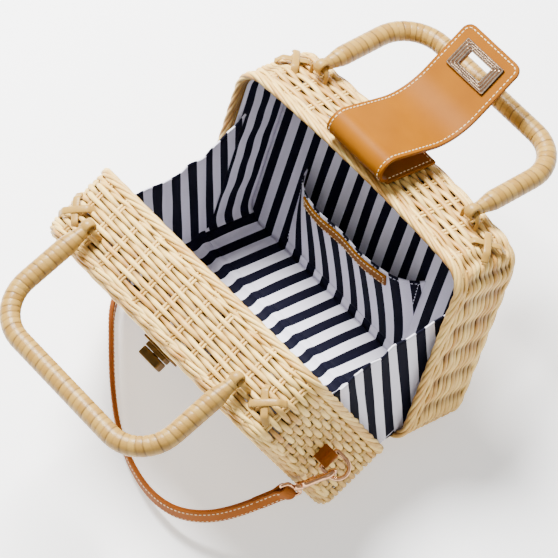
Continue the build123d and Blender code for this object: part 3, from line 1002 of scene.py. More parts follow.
@dataclass
class WovenTray:
    """One woven tray: rows of reed round the wall, a plaited mouth border, base wales and a panel."""

    side: Side
    end_stakes: int
    twine: float
    long_stakes: int = 10
    corner_stakes: int = 2
    samples: int = 10
    twist_samples: int = 20
    rows: int = 10
    first_row: float = 13.86
    last_row: float = 49.05
    middle: float = 3.0
    sway: float = 1.15
    wave_power: float = 0.7
    slide: float = 0.8
    twine_lead: float = 6.0
    twine_blend: float = 20.0
    reed_thick: float = 1.5
    reed_wide: float = 1.96
    stake_radius: float = 1.1
    stake_gap: float = 2.6
    panel_inset: float = 7.5
    panel_start: float = 9.0
    panel_pitch: float = 4.2
    panel_stakes: int = 10
    panel_widen: float = 1.06

    def __post_init__(self) -> None:
        """Set up the half's directions, a random source and where the stakes stand."""
        self.half = Half(self.side)
        self.random = np.random.default_rng(7 + self.side.value)
        half_way = [self.long_stakes // 2, self.corner_stakes, self.end_stakes, self.corner_stakes]
        marks = np.cumsum([0, *half_way, self.long_stakes, *half_way[::-1]])
        self.count = int(marks[-1])
        self.marks = marks.astype(float)

    def strand(
        self, share: Array, inset: Array, depth: Array, thick: float, wide: float, painted_shade: float = 1.0
    ) -> Shape:
        """Lay one strand all the way round the wall.

        The path is the outline moved inwards by inset at a depth; the oval lies flat on the wall
        and grows and shrinks a little along the way.

        Args:
            share: shares of the way round.
            inset: distance inside the outline at each share.
            depth: distance from the mouth at each share.
            thick: half thickness out of the wall.
            wide: half width along the depth.
            painted_shade: how strong the painted shade grows where the strand lies deep.

        Returns:
            The closed strand with its tone and the painted shade from how deep each point lies.
        """
        places, normals = OUTLINE.at(share)
        moved = places - normals * inset[:, None]
        path = self.half.place(moved[:, 0], moved[:, 1], depth)
        side = normals[:, :1] * ACROSS + normals[:, 1:] * self.half.up
        angle = corner_angles(STRAND_SIDES)
        sunk = inset[:, None] - thick * np.cos(angle)
        mean, beat, shift = self.random.uniform([0.0, 2.0, 0.0], [0.6, 7.0, 1.0])
        round_way = 2.0 * pi * (round(beat) * share + shift)
        tone = mean + 0.2 * np.sin(round_way) + 0.12 * np.sin(3.0 * round_way + 1.0)
        swell = (1.0 + 0.07 * np.sin(5.0 * round_way))[:, None]
        # gap holds painted shade: darker where the strand lies deep or faces inward.
        values = {"tone": tone, "gap": painted_shade_at(sunk, angle, painted_shade)}
        return tube(path, side * thick * swell, self.half.out * wide * swell, STRAND_SIDES, True, values)

    def wall(self) -> list[Shape]:
        """Weave the rows.

        Each row passes one stake outside and the next one inside, and the row beside it does the
        opposite. Where the ends are twined, all rows swell out over each stake there and slide a
        little along the depth between stakes.

        Returns:
            One closed strand per row.
        """
        phase = np.arange(self.count * self.samples) / self.samples
        share = np.interp(phase, self.marks, OUTLINE.marks)
        places, _ = OUTLINE.at(share)
        beyond = np.abs(places[:, 0]) - BAG.corner_run + self.twine_lead
        end = self.twine * smooth(beyond / self.twine_blend)
        strands = []
        for row, depth in enumerate(np.linspace(self.first_row, self.last_row, self.rows)):
            wave = np.cos(pi * (phase + row))
            plain = squared(wave, self.wave_power)
            shift = self.random.uniform(0.0, 2.0 * pi, 3)
            drift = 0.3 * np.sin(shift[2])
            twined = -np.cos(2.0 * pi * phase + drift)
            inset = self.middle + self.sway * (plain * (1.0 - end) + twined * end)
            wander = 0.3 * np.sin(10.0 * pi * share + shift[0])
            wander += 0.2 * np.sin(34.0 * pi * share + shift[1])
            slide = self.slide * np.sin(2.0 * pi * phase + drift) * end
            thick, wide = self.random.uniform(0.9, 1.08, 2) * (self.reed_thick, self.reed_wide)
            strands.append(self.strand(share, inset, depth + wander + slide, thick, wide))
        return strands

    def twist(
        self, depth: float, inset: float, reach: tuple[float, float], count: int, turns: int, radius: float
    ) -> list[Shape]:
        """Twist strands round each other all the way round the wall.

        Each strand circles the middle line, a share of a turn behind the one before.

        Args:
            depth: distance of the middle line from the mouth.
            inset: distance of the middle line inside the outline.
            reach: how far the strands circle, out of the wall and along the depth.
            count: number of strands.
            turns: whole turns on the way round.
            radius: half thickness of a strand.

        Returns:
            The strands.
        """
        share = np.arange(turns * self.twist_samples) / (turns * self.twist_samples)
        strands = []
        for index in range(count):
            angle = 2.0 * pi * (turns * share + index / count)
            path_inset = inset - reach[0] * np.cos(angle)
            path_depth = depth + reach[1] * np.sin(angle)
            # These strands get weaker painted shade where they lie deep.
            strands.append(self.strand(share, path_inset, path_depth, radius * 0.92, radius, painted_shade=0.3))
        return strands

    def edges(self) -> list[Shape]:
        """Make the plaited mouth border, the wale beside it and the wales round the base edge.

        Returns:
            The twisted strands.
        """
        pair = {"count": 2, "turns": self.count // 2, "radius": 1.45}
        strands = self.twist(depth=4.3, inset=3.3, reach=(1.6, 2.1), count=5, turns=13, radius=1.55)
        strands += self.twist(depth=9.95, inset=self.middle, reach=(0.9, 0.8), **pair)
        arc = BAG.base_round - self.middle
        for turn in (8.0, 38.0, 68.0):
            angle = radians(turn)
            depth = BAG.depth - BAG.base_round + arc * sin(angle)
            strands += self.twist(depth, BAG.base_round - arc * cos(angle), reach=(0.7, 0.75), **pair)
        return strands

    def rod(self, path: Array, out: Array, over: Array) -> Shape:
        """Make one straight stake.

        Args:
            path: points along it.
            out: unit direction out of the weave.
            over: unit direction across the stake.

        Returns:
            The stake.
        """
        tone = np.full(len(path), self.random.uniform(0.0, 0.5))
        # The stakes get a little painted shade all along.
        values = {"tone": tone, "gap": np.full(len(path), 0.1)}
        radius = self.stake_radius
        return tube(path, out * radius, over * radius, THIN_SIDES, False, values)

    def stake_rods(self) -> list[Shape]:
        """Set the paired stakes that the rows run round.

        Returns:
            Two straight rods at each stake.
        """
        share = np.interp(np.arange(self.count), self.marks, OUTLINE.marks)
        depth = np.linspace(BAG.border - 1.0, BAG.depth - BAG.base_round + 3.0, 4)
        rods = []
        for beside in (-0.5, 0.5):
            places, normals = OUTLINE.at(share + beside * self.stake_gap / OUTLINE.length)
            moved = places - normals * self.middle
            for place, normal in zip(moved, normals):
                path = self.half.place(*place, depth)
                out = normal[0] * ACROSS + normal[1] * self.half.up
                rods.append(self.rod(path, out, np.cross(self.half.out, out)))
        return rods

    def panel(self) -> list[Shape]:
        """Weave the panel.

        Rows run straight across, held under the crowned top; each passes one stake outside and
        the next one inside.

        Returns:
            One strand per row and the stakes between them.
        """
        inset = self.panel_inset
        mid_depth = BAG.depth - self.middle
        pitch = 2.0 * BAG.corner_run / self.panel_stakes
        along = np.linspace(-1.0, 1.0, self.panel_stakes * 10 + 1)
        angle = corner_angles(THIN_SIDES)
        out, up = self.half.out * self.reed_thick, self.half.up * self.reed_wide * self.panel_widen
        strands = []
        for row, level in enumerate(np.arange(self.panel_start, BAG.top(0.0) - inset, self.panel_pitch)):
            x = along * panel_reach(level, inset)
            wave = np.cos(pi * (x / pitch + row))
            depth = mid_depth - self.sway * squared(wave, self.wave_power)
            wander = 0.25 * np.sin(along * 9.0 + self.random.uniform(0.0, 6.0))
            path = self.half.place(x, np.minimum(level + wander, BAG.top(x) - inset), depth)
            tone = self.random.uniform(0.0, 0.6) + 0.2 * np.sin(along * 5.0 + row * 1.7)
            sunk = (BAG.depth - depth)[:, None] - self.reed_thick * np.cos(angle)
            # Painted shade on the panel's rows where they lie deep or face inward.
            values = {"tone": tone, "gap": painted_shade_at(sunk, angle)}
            strands.append(tube(path, out, up, THIN_SIDES, False, values))
        for x in (np.arange(self.panel_stakes + 1) - self.panel_stakes / 2.0) * pitch:
            height = np.linspace(inset, BAG.top(x) - inset, 3)
            for beside in (-0.5, 0.5):
                path = self.half.place(x + beside * self.stake_gap, height, mid_depth)
                strands.append(self.rod(path, self.half.out, ACROSS))
        return strands

    def build(self, maker: Maker) -> None:
        """Make the tray's pieces.

        Args:
            maker: makes the pieces.
        """
        name = self.half.name
        wall = join(self.wall() + self.edges() + self.stake_rods())
        maker.piece(f"{name}_weave", wall, WICKER, self.half.body, (f"{name}_basket",), NO_CREASE)
        maker.piece(f"{name}_panel_weave", join(self.panel()), WICKER, self.half.body, (), NO_CREASE)


@dataclass
class Handle:
    """A bow wrapped with flat cane, an eye at each end, and the cane loops that hold the eyes."""

    side: Side
    length: float = 83.0
    thickness: float = 14.0
    bend: float = 30.0
    lift: float = 8.0
    wrap: float = 4.8
    wrap_groove: float = 0.3
    wrap_step: float = 0.4
    bow_start: float = 3.0
    end_radius: float = 4.4
    end_taper: float = 17.0
    eye_ring: float = 4.1
    eye_points: int = 28
    eye_thick: float = 1.5
    eye_wide: float = 3.9
    loop_span: float = 14.0
    loop_bend: float = 5.0
    loop_sink: float = 5.5
    loop_radii: tuple[float, float] = (1.25, 1.9)
    cross_offset: float = 21.0
    cross_depth: float = 36.0
    cross_reach: float = 13.5
    cross_dive: float = 4.2
    cross_flat: float = 0.62
    cross_radii: tuple[float, float] = (2.6, 0.65)
    cross_points: int = 25
    cross_sides: int = 10

    def __post_init__(self) -> None:
        """Set up the handle's plane."""
        self.half = Half(self.side)
        lift = radians(self.lift)
        self.way = self.half.out * cos(lift) + self.half.up * sin(lift)
        self.pivot_height = BAG.top(BAG.handle_spread) + BAG.handle_rise
        self.pivot = self.half.place(0.0, self.pivot_height, BAG.handle_depth)

    def bow(self) -> Shape:
        """Wrap the bow.

        The radius swells within each turn of cane and drops to a groove between turns, where
        shade is painted; the turns climb like a screw. Towards the ends the bow grows thinner.

        Returns:
            The wrapped bow.
        """
        spread, start = BAG.handle_spread, self.bow_start
        corners = [(-spread, start), (-spread, self.length), (spread, self.length), (spread, start)]
        path = track(corners, self.bend, self.wrap_step)
        run = np.arange(len(path[0])) * self.wrap_step
        ends = np.minimum(run, run[-1] - run)
        radius = self.end_radius + (self.thickness / 2.0 - self.end_radius) * smooth(ends / self.end_taper)
        angle = corner_angles(ROUND_SIDES)
        turn = run[:, None] / self.wrap + angle / (2.0 * pi)
        swell = np.abs(np.sin(pi * turn)) ** 0.3
        reach = radius[:, None] - self.wrap_groove * (1.0 - swell)
        tone = 0.3 + 0.3 * np.sin(np.floor(turn) * 2.4) + 0.15 * np.sin(np.floor(turn) * 5.1)
        # Painted shade in the grooves between turns, of uneven strength.
        faint = 0.45 + 0.3 * np.sin(np.floor(turn + 0.5) * 3.7)
        groove = faint * np.clip((0.86 - swell) / 0.36, 0.0, 1.0)
        values = {"tone": tone, "gap": groove}
        section = (reach * np.cos(angle), reach * np.sin(angle))
        axes = (ACROSS, self.way)
        bow = plane_tube(path, self.pivot, axes, (1.0, 1.0), ROUND_SIDES, False, values, section)
        return plain_ends(bow)

    def eye(self, x: float) -> Shape:
        """Make the eye at one end of the bow.

        Args:
            x: the end's place along the bag.

        Returns:
            A ring of flat cane round the pivot.
        """
        angle = corner_angles(self.eye_points)
        across = np.cross(ACROSS, self.way)
        radial = np.cos(angle)[:, None] * self.way + np.sin(angle)[:, None] * across
        path = self.pivot + ACROSS * x + radial * self.eye_ring
        tone = 0.3 + 0.2 * np.sin(3.0 * angle)
        wide = ACROSS * self.eye_wide
        return tube(path, radial * self.eye_thick, wide, STRAND_SIDES, True, {"tone": tone})

    def loop(self, x: float) -> Shape:
        """Make the cane loop through an eye.

        Args:
            x: the eye's place along the bag.

        Returns:
            A flat cane that comes up out of the weave, runs through the eye and goes back down.
        """
        side, top = self.loop_span / 2.0, self.pivot_height
        foot = BAG.top(abs(x) + side) - self.loop_sink
        path = track([(-side, foot), (-side, top), (side, top), (side, foot)], self.loop_bend, step=0.9)
        origin = self.half.place(x, 0.0, BAG.handle_depth)
        values = {"tone": np.full(len(path[0]), 0.45)}
        axes = (ACROSS, self.half.up)
        return plane_tube(path, origin, axes, self.loop_radii, STRAND_SIDES, False, values)

    def binding(self, x: float) -> list[Shape]:
        """Cross two flat canes beside a handle end.

        Each cane runs slantwise over the top and dives into the weave at both ends; the second
        one rises over the first.

        Args:
            x: the middle's place along the bag.

        Returns:
            The two canes.
        """
        share = np.linspace(-1.0, 1.0, self.cross_points)
        canes = []
        for turn, lift in ((1.0, 0.3), (-1.0, 1.5)):
            step = share * self.cross_reach * sqrt(0.5)
            dive = self.cross_dive * smooth((np.abs(share) - self.cross_flat) / (1.0 - self.cross_flat))
            height = BAG.top(x + step) + 0.6 + lift * (1.0 - share**2) - dive
            path = self.half.place(x + step, height, self.cross_depth + turn * step)
            along = unit(np.gradient(path, axis=0))
            side = unit(np.cross(along, self.half.up))
            wide, thick = side * self.cross_radii[0], np.cross(side, along) * self.cross_radii[1]
            canes.append(tube(path, wide, thick, self.cross_sides, False, {"tone": 0.3 + 0.2 * share}))
        return canes

    def build(self, maker: Maker) -> None:
        """Make the handle's pieces.

        Args:
            maker: makes the pieces.
        """
        name = self.half.name
        spread = BAG.handle_spread
        bow = join([self.bow(), self.eye(-spread), self.eye(spread)])
        maker.piece(f"{name}_wrapped_handle", bow, CANE, f"{name}_handle", (f"{name}_handle",), NO_CREASE)
        loops = join([self.loop(-spread), self.loop(spread)])
        body = self.half.body
        maker.piece(f"{name}_cane_loops", loops, CANE, body, (f"{name}_handle_loops",), NO_CREASE)
        beside = spread + self.cross_offset
        crosses = join(self.binding(-beside) + self.binding(beside))
        maker.piece(f"{name}_crossed_canes", crosses, CANE, body, (f"{name}_bindings",), NO_CREASE)


@dataclass
class Flap:
    """The leather flap: a stitched lower layer, a leaf that folds back over the handle, a slot plate."""

    width: float = 54.0
    thickness: float = 2.4
    front_margin: float = 7.0
    back_margin: float = 8.0
    fold_radius: float = 8.0
    dip: float = 8.0
    flat: float = 36.0
    curve_radius: float = 45.0
    climb: float = 46.0
    tip: float = 42.5
    tip_round: float = 7.0
    fold_gap: float = 0.4
    skin_gap: float = 0.15
    plate_length: float = 36.0
    plate_height: float = 22.0
    plate_thickness: float = 1.6
    plate_margin: float = 9.0
    slot_length: float = 20.6
    slot_height: float = 11.6
    plate_gap: float = 0.02
    rib_shares: tuple[float, ...] = (0.08, 0.36, 0.64, 0.92)
    rib_radii: tuple[float, float] = (0.55, 0.5)
    bend_below: float = 1.5
    bend_above: float = 2.0
    stitch_inset: float = 2.6
    stitch_pitch: float = 3.4
    stitch_share: float = 0.68
    thread: float = 0.75

    def __post_init__(self) -> None:
        """Work out the leaf's profile in the back half."""
        self.half = Half(Side.BACK)
        self.bottom = BAG.height + BAG.crown + self.skin_gap + 2.0 * self.thickness + self.fold_gap
        self.fold_run = self.fold_radius * radians(180.0 + self.dip)
        self.rise_run = self.curve_radius * radians(self.dip + self.climb)
        self.length = self.fold_run + self.flat + self.rise_run + self.tip

    def heading(self, run: Array) -> Array:
        """Direction of the leaf along its length.

        It turns evenly through the fold, keeps straight, turns evenly up over the handle and
        keeps straight to the tip.

        Args:
            run: lengths from the fold's start.

        Returns:
            Angles in radians, 0 away from the mouth and a quarter turn upwards.
        """
        fold = np.clip(run, 0.0, self.fold_run) / self.fold_radius
        rise = np.clip(run - self.fold_run - self.flat, 0.0, self.rise_run) / self.curve_radius
        return pi - fold + rise

    def profile(self, run: Array, lift: float) -> tuple[Array, Array]:
        """Follow the leaf's profile.

        The place is the sum of small steps along the heading, moved sideways by lift.

        Args:
            run: lengths from the fold's start.
            lift: distance to the left of the walk.

        Returns:
            Depths and heights in the back half.
        """
        fine = np.linspace(0.0, self.length, 6000)
        mid_heading = self.heading((fine[1:] + fine[:-1]) / 2.0)
        steps = np.stack([np.cos(mid_heading), np.sin(mid_heading)], -1) * (fine[1] - fine[0])
        places = np.concatenate([np.zeros((1, 2)), np.cumsum(steps, 0)]) + (self.front_margin, self.bottom)
        turn = self.heading(run)
        depth = np.interp(run, fine, places[:, 0]) - lift * np.sin(turn)
        height = np.interp(run, fine, places[:, 1]) + lift * np.cos(turn)
        return depth, height

    def half_width(self, run: Array, inset: float) -> Array:
        """Half width of the leaf, with its tip's corners rounded.

        Args:
            run: lengths from the fold's start.
            inset: distance inside the edge.

        Returns:
            Half widths.
        """
        radius = self.tip_round - inset
        over = np.clip(run - (self.length - self.tip_round), 0.0, radius)
        return self.width / 2.0 - self.tip_round + np.sqrt(radius**2 - over**2)

    def leaf(self) -> Shape:
        """Make the leaf's middle surface with its slot.

        Returns:
            A grid along the profile; the faces in the slot are left out.
        """
        slot_end = self.length - self.plate_margin - (self.plate_height - self.slot_height) / 2.0
        slot_start = slot_end - self.slot_height
        marks = [0.0, self.fold_run, self.fold_run + self.flat, self.length - self.tip]
        marks += [slot_start, slot_end, self.length - self.tip_round, self.length]
        counts = [26, 14, 18, 6, 5, 4, 12]
        runs = [np.linspace(a, b, n, endpoint=False) for a, b, n in zip(marks, marks[1:], counts)]
        run = np.concatenate(runs + [[self.length]])
        slot_share = self.slot_length / self.width
        sides = np.linspace(-1.0, -slot_share, 8, endpoint=False)
        across = np.concatenate([sides, np.linspace(-slot_share, slot_share, 13), -sides[::-1]])
        depth, height = self.profile(run, self.thickness / 2.0)
        x = self.half_width(run, 0.0)[:, None] * across
        points = self.half.place(x, height[:, None], depth[:, None])
        edge = 0.7 * np.clip((np.abs(across) - 0.965) / 0.035, 0.0, 1.0)
        shape = grid(points, self.half.up, {"gap": np.broadcast_to(edge, x.shape)})
        centres = shape.points[shape.faces[0]].mean(1)
        run_of = np.repeat((run[1:] + run[:-1]) / 2.0, len(across) - 1)
        beside = np.abs(centres[:, 0]) > self.slot_length / 2.0
        kept = beside | (run_of < slot_start) | (run_of > slot_end)
        shape.faces = [shape.faces[0][kept]]
        return shape

    def sew(self, places: Array, along: Array, out: Array) -> Shape:
        """Lay the flap's own stitches at places, along directions, on a face that looks out."""
        return stitches(places, along, out, self.stitch_pitch * self.stitch_share, self.thread)

    def leaf_stitches(self) -> Shape:
        """Stitch round the leaf's sides and tip.

        Returns:
            Stitches along the edge, on the upper face.
        """
        inset = self.stitch_inset
        run = np.linspace(2.0, self.length - inset, 700)
        depth, height = self.profile(run, self.thickness)
        side = self.half_width(run, inset)
        tip_x = np.linspace(side[-1], -side[-1], 60)[1:-1]
        right = self.half.place(side, height, depth)
        tip = self.half.place(tip_x, height[-1], depth[-1])
        left = self.half.place(-side, height, depth)[::-1]
        line = np.concatenate([right, tip, left])
        places, along = spaced(line, self.stitch_pitch)
        heading = self.heading(run)
        turn = np.concatenate([heading, np.full(len(tip), heading[-1]), heading[::-1]])
        length = walked(line)
        at = (np.arange(len(places)) + 0.5) * length[-1] / len(places)
        angle = np.interp(at, length, turn)
        out = np.cos(angle)[:, None] * self.half.up - np.sin(angle)[:, None] * self.half.out
        return self.sew(places, along, out)

    def base(self) -> tuple[Shape, Shape]:
        """Make the lower layer and its stitches.

        Returns:
            A surface that follows the crowned top, and stitches inside its edge.
        """
        low, high = self.front_margin, BAG.depth - self.back_margin
        x = np.linspace(-self.width / 2.0, self.width / 2.0, 25)
        depth = np.linspace(low, high, 22)[:, None]
        height = BAG.top(x) + self.skin_gap + self.thickness / 2.0
        surface = grid(self.half.place(x, height, depth), self.half.up)
        inset = self.stitch_inset
        reach, near, far = self.width / 2.0 - inset, low + inset, high - inset
        corners = [(-reach, near), (-reach, far), (reach, far), (reach, near)]
        line, _ = track(corners, radius=1.5, step=0.5)
        top = BAG.top(line[:, 0]) + self.skin_gap + self.thickness
        places, along = spaced(self.half.place(line[:, 0], top, line[:, 1]), self.stitch_pitch)
        return surface, self.sew(places, along, self.half.up)

    def plate(self) -> tuple[Shape, Shape]:
        """Make the slot plate and plain ribs round its slot.

        Returns:
            The flat frame, and ribs that follow it.
        """
        run = self.length - self.plate_margin - self.plate_height / 2.0
        depth, height = self.profile(run, self.thickness + self.plate_thickness / 2.0 + self.plate_gap)
        turn = self.heading(run)
        along = cos(turn) * self.half.out + sin(turn) * self.half.up
        out = cos(turn) * self.half.up - sin(turn) * self.half.out
        middle = self.half.place(0.0, height, depth)
        outer = (self.plate_length / 2.0, self.plate_height / 2.0)
        inner = (self.slot_length / 2.0, self.slot_height / 2.0)
        signs = np.array([(-1, -1), (1, -1), (1, 1), (-1, 1)], float)
        corners = np.concatenate([signs * outer, signs * inner])
        flat = middle + corners[:, :1] * ACROSS + corners[:, 1:] * along
        lift = out * self.plate_thickness / 2.0
        points = np.concatenate([flat + lift, flat - lift])
        edge = np.arange(4)
        ahead = (edge + 1) % 4
        sides = [
            np.stack([edge, ahead, ahead + 4, edge + 4], -1),
            np.stack([edge + 8, edge + 12, ahead + 12, ahead + 8], -1),
            np.stack([edge, edge + 8, ahead + 8, ahead], -1),
            np.stack([edge + 4, ahead + 4, ahead + 12, edge + 12], -1),
        ]
        faces = np.concatenate(sides)
        looks = np.dot(np.cross(ACROSS, along), out)
        plate = Shape(points, [faces if looks > 0 else faces[:, ::-1]], {})
        ribs = []
        axes = (ACROSS, along)
        for share in self.rib_shares:
            reach = [a + (b - a) * share for a, b in zip(inner, outer)]
            line = [(x * reach[0], y * reach[1]) for x, y in signs]
            path = track(line, radius=0.8, step=0.7, closed=True)
            ribs.append(plane_tube(path, middle + lift, axes, self.rib_radii, THIN_SIDES, True))
        return plate, join(ribs)

    def build(self, maker: Maker) -> None:
        """Make the flap's pieces.

        Args:
            maker: makes the pieces.
        """
        leaf = maker.piece("flap_leaf", self.leaf(), FLAP_LEATHER, None, ("flap",))
        maker.thicken(leaf, self.thickness, edge=0.5)
        thread = maker.piece("flap_thread", self.leaf_stitches(), PALE_THREAD, None)
        start = self.half.place(0.0, self.bottom - self.bend_below, 0.0) * MM
        end = self.half.place(0.0, self.bottom + self.fold_radius + self.bend_above, 0.0) * MM
        for item in (leaf, thread):
            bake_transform(item)
        base, base_thread = self.base()
        lower = maker.piece("flap_lower_layer", base, FLAP_LEATHER, "back_half", ("flap_base",))
        maker.thicken(lower, self.thickness, edge=0.5)
        maker.piece("flap_lower_thread", base_thread, PALE_THREAD, "back_half")
        plate, ribs = self.plate()
        metal = maker.piece("flap_slot_plate", plate, PLATE, "flap", ("flap_plate",), SHARP_CREASE)
        maker.soften(metal, edge=0.35)
        maker.piece("flap_plate_ribs", ribs, RIBS, "flap")


@dataclass
class Lock:
    """The turn lock on the front panel."""

    drop: float = 36.0
    plate: tuple[float, float, float] = (26.0, 16.0, 1.6)
    body: tuple[float, float] = (18.0, 9.6)
    post: float = 3.4
    gap: float = 0.4
    knob: float = 6.6
    shaft: float = 2.4
    shaft_sunk: float = 0.5

    def build(self, maker: Maker) -> None:
        """Make the lock's pieces.

        Args:
            maker: makes the pieces.
        """
        half = Half(Side.FRONT)
        out = half.out
        seat = half.place(0.0, BAG.height - self.drop, BAG.depth)
        axes = [ACROSS, half.up, np.cross(ACROSS, half.up)]
        thick = self.plate[2]
        plate = block(seat + out * thick / 2.0, axes, self.plate)
        post = block(seat + out * (thick + self.post / 2.0), axes, (*self.body, self.post))
        base = join([plate, post])
        fixed = maker.piece("lock_fixed", base, BRASS, "front_half", ("lock_base",), SHARP_CREASE)
        maker.soften(fixed, edge=0.7)
        start = thick + self.post + self.gap
        turning = block(seat + out * (start + self.knob / 2.0), axes, (*self.body, self.knob))
        knob = maker.piece("lock_turning_knob", turning, BRASS, "lock_knob", ("lock_knob",), SHARP_CREASE)
        maker.soften(knob, edge=1.2)
        share = np.linspace(0.0, 1.0, 3)[:, None]
        path = seat + out * (thick + share * (self.post + self.gap + self.shaft_sunk))
        shaft = tube(path, ACROSS * self.shaft, half.up * self.shaft, ROUND_SIDES, False)
        maker.piece("lock_shaft", shaft, BRASS, "lock_knob")
        maker.paint_node("lock_backing", BRASS)


@dataclass
class Lining:
    """The striped cloth inside one tray."""

    side: Side
    inset: float = 7.0
    mouth: float = 7.4
    floor: float = 53.0
    cloth: float = 0.7

    def __post_init__(self) -> None:
        """Set up the half's directions."""
        self.half = Half(self.side)

    def band(self) -> tuple[Shape, tuple[float, float]]:
        """Line the walls.

        The band is the outline moved inwards, with small waves, sewn together at the corners.
        Stripes run through the depth along the top and bottom and up and down at the ends.

        Returns:
            The band and its flat size in metres.
        """
        # The four seams lie in the middles of the corner arcs
        seams = (OUTLINE.marks[1:8:2] + OUTLINE.marks[2:9:2]) / 2.0
        depth = np.linspace(self.mouth, self.floor, 14)[:, None]
        fade = np.sin(pi * (depth - self.mouth) / (self.floor - self.mouth))
        walls = []
        for index, start in enumerate(seams):
            share = np.linspace(start, seams[(index + 1) % 4] + index // 3, 73)
            places, normals = OUTLINE.at(share)
            middle = len(share) // 2
            ripple = 0.4 + 0.5 * np.sin(26.0 * pi * share) + 0.35 * np.sin(58.0 * pi * share + 1.0)
            inset = self.inset + ripple * fade
            x = places[:, 0] - normals[:, 0] * inset
            height = places[:, 1] - normals[:, 1] * inset
            upright = np.sign(places[middle, 0]) * (BAG.width / 2.0 - self.inset + self.floor - depth)
            stripe = x if index % 2 else np.broadcast_to(upright, x.shape)
            inward = -normals[middle, 0] * ACROSS - normals[middle, 1] * self.half.up
            walls.append(grid(self.half.place(x, height, depth), inward, {"stripe": stripe}))
        corner_loss = 2.0 * pi * self.inset
        return join(walls), ((OUTLINE.length - corner_loss) * MM, (self.floor - self.mouth) * MM)

    def panel(self) -> tuple[Shape, tuple[float, float]]:
        """Line the panel.

        Rows of points follow the panel's outline; soft folds run up and down.

        Returns:
            The sheet and its flat size in metres.
        """
        rows, columns = 44, 70
        inset = self.inset
        share = np.linspace(0.0, 1.0, rows)[:, None]
        low, high = inset, BAG.top(BAG.corner_run) - inset
        reach = panel_reach(low + share * (high - low), inset)
        x = reach * np.linspace(-1.0, 1.0, columns)
        height = inset + share * (BAG.top(x) - 2.0 * inset)
        fade = np.sin(pi * share) * np.cos(0.5 * pi * x / (BAG.width / 2.0))
        folds = np.sin(0.11 * x + 2.4 * share) + 0.6 * np.sin(0.23 * x - 3.0 * share + 1.0)
        depth = self.floor - 1.3 * fade * (1.6 + folds)
        points = self.half.place(x, height, depth)
        shape = grid(points, -self.half.out, {"stripe": x})
        return shape, ((BAG.width - 2.0 * inset) * MM, (BAG.height + 3.0 - 2.0 * inset) * MM)

    def build(self, maker: Maker) -> None:
        """Make the lining's pieces.

        Args:
            maker: makes the pieces.
        """
        name = self.half.name
        band, band_flat = self.band()
        walls = maker.piece(f"{name}_lining_band", band, CLOTH, self.half.body, (f"{name}_lining",))
        panel, panel_flat = self.panel()
        sheet = maker.piece(f"{name}_lining_panel", panel, CLOTH, self.half.body)
        for item, flat in ((walls, band_flat), (sheet, panel_flat)):
            maker.thicken(item, self.cloth, edge=0.0)


@dataclass
class FootCloth:
    """The lining where it runs over both rims along the hinge."""

    reach: float = 104.5
    mouth: float = 7.4
    lip: float = 0.9
    inset: float = 7.0
    rise: float = 0.7
    sag: float = 2.4
    cloth: float = 0.7

    def build(self, maker: Maker) -> None:
        """Make the cloth.

        In section it climbs each rim in an even curve and hangs like half a wave between them.
        Towards both ends it rises with the trays' rounded corners.

        Args:
            maker: makes the pieces.
        """
        x = np.linspace(-self.reach, self.reach, 72)
        radius = BAG.corner - self.inset
        bend = np.clip(np.abs(x) - BAG.corner_run, 0.0, None)
        base = BAG.corner - np.sqrt(radius**2 - bend**2)
        depth = np.linspace(self.mouth, self.lip, 9)[:, None]
        height = base + self.rise * smooth((self.mouth - depth) / 4.0)
        front, back = (Half(side).place(x, height, depth) for side in Side)
        share = np.linspace(0.0, 1.0, 9)[1:-1, None, None]
        between = front[-1] + (back[-1] - front[-1]) * share - RISE * self.sag * np.sin(pi * share)
        points = np.concatenate([front, between, back[::-1]])
        stripe = np.broadcast_to(x, points.shape[:2])
        cloth = maker.piece("hinge_lining", grid(points, RISE, {"stripe": stripe}), CLOTH, None)
        maker.thicken(cloth, self.cloth, edge=0.0)
        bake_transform(cloth)


@dataclass
class Gusset:
    """A cloth panel between the trays at one end."""

    end: End
    inset: float = 9.6
    foot: float = 12.0
    height: float = 120.0
    seam: float = 12.0
    bulge: float = 6.0
    slack: float = 1.03
    sag: float = 5.0
    hem: float = 0.75
    cloth: float = 0.7

    def surface(self) -> tuple[Shape, Array, Array]:
        """Stretch the cloth between the two seams.

        Points run straight from the front seam to the back seam and swing into the bag in the
        middle, more towards the top. The stripes keep their width and are cut off at the seams.

        Returns:
            The cloth, the points of its top edge and the place across the stripes there.
        """
        share = np.linspace(0.0, 1.0, 30)[:, None]
        across = np.linspace(0.0, 1.0, 34)
        x = self.end.value * (BAG.width / 2.0 - self.inset)
        rise = self.foot + share * (self.height - self.foot)
        first, last = (Half(side).place(x, rise, self.seam) for side in Side)
        points = first + (last - first) * across[:, None]
        hang = np.sin(pi * across)
        wave = hang * (0.2 + 0.8 * share)
        soft = 0.16 * np.sin(7.0 * pi * across) + 0.1 * np.sin(12.0 * pi * across + 4.0 * share)
        points[..., 0] -= self.end.value * self.bulge * (wave + soft * hang * share)
        points[..., 2] -= self.sag * hang * share**4
        stripe = (across - 0.5) * np.linalg.norm(last - first, axis=-1) * self.slack
        shape = grid(points, self.end.value * ACROSS, {"stripe": stripe})
        return shape, points[-1], stripe[-1]

    def build(self, maker: Maker) -> None:
        """Make the gusset's pieces.

        Args:
            maker: makes the pieces.
        """
        name = self.end.name.lower()
        shape, edge, stripe = self.surface()
        cloth = maker.piece(f"{name}_gusset_cloth", shape, CLOTH, None, (f"{name}_gusset",))
        maker.thicken(cloth, self.cloth, edge=0.0)
        along = unit(np.gradient(edge, axis=0))
        lift = np.cross(along, ACROSS) * self.hem
        hem_shape = tube(edge, ACROSS * self.hem, lift, STRAND_SIDES, False, {"stripe": stripe})
        hem = maker.piece(f"{name}_gusset_hem", hem_shape, CLOTH, None)
        start, end = (Half(side).place(0.0, self.height, self.seam) * MM for side in Side)
        for item in (cloth, hem):
            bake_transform(item)


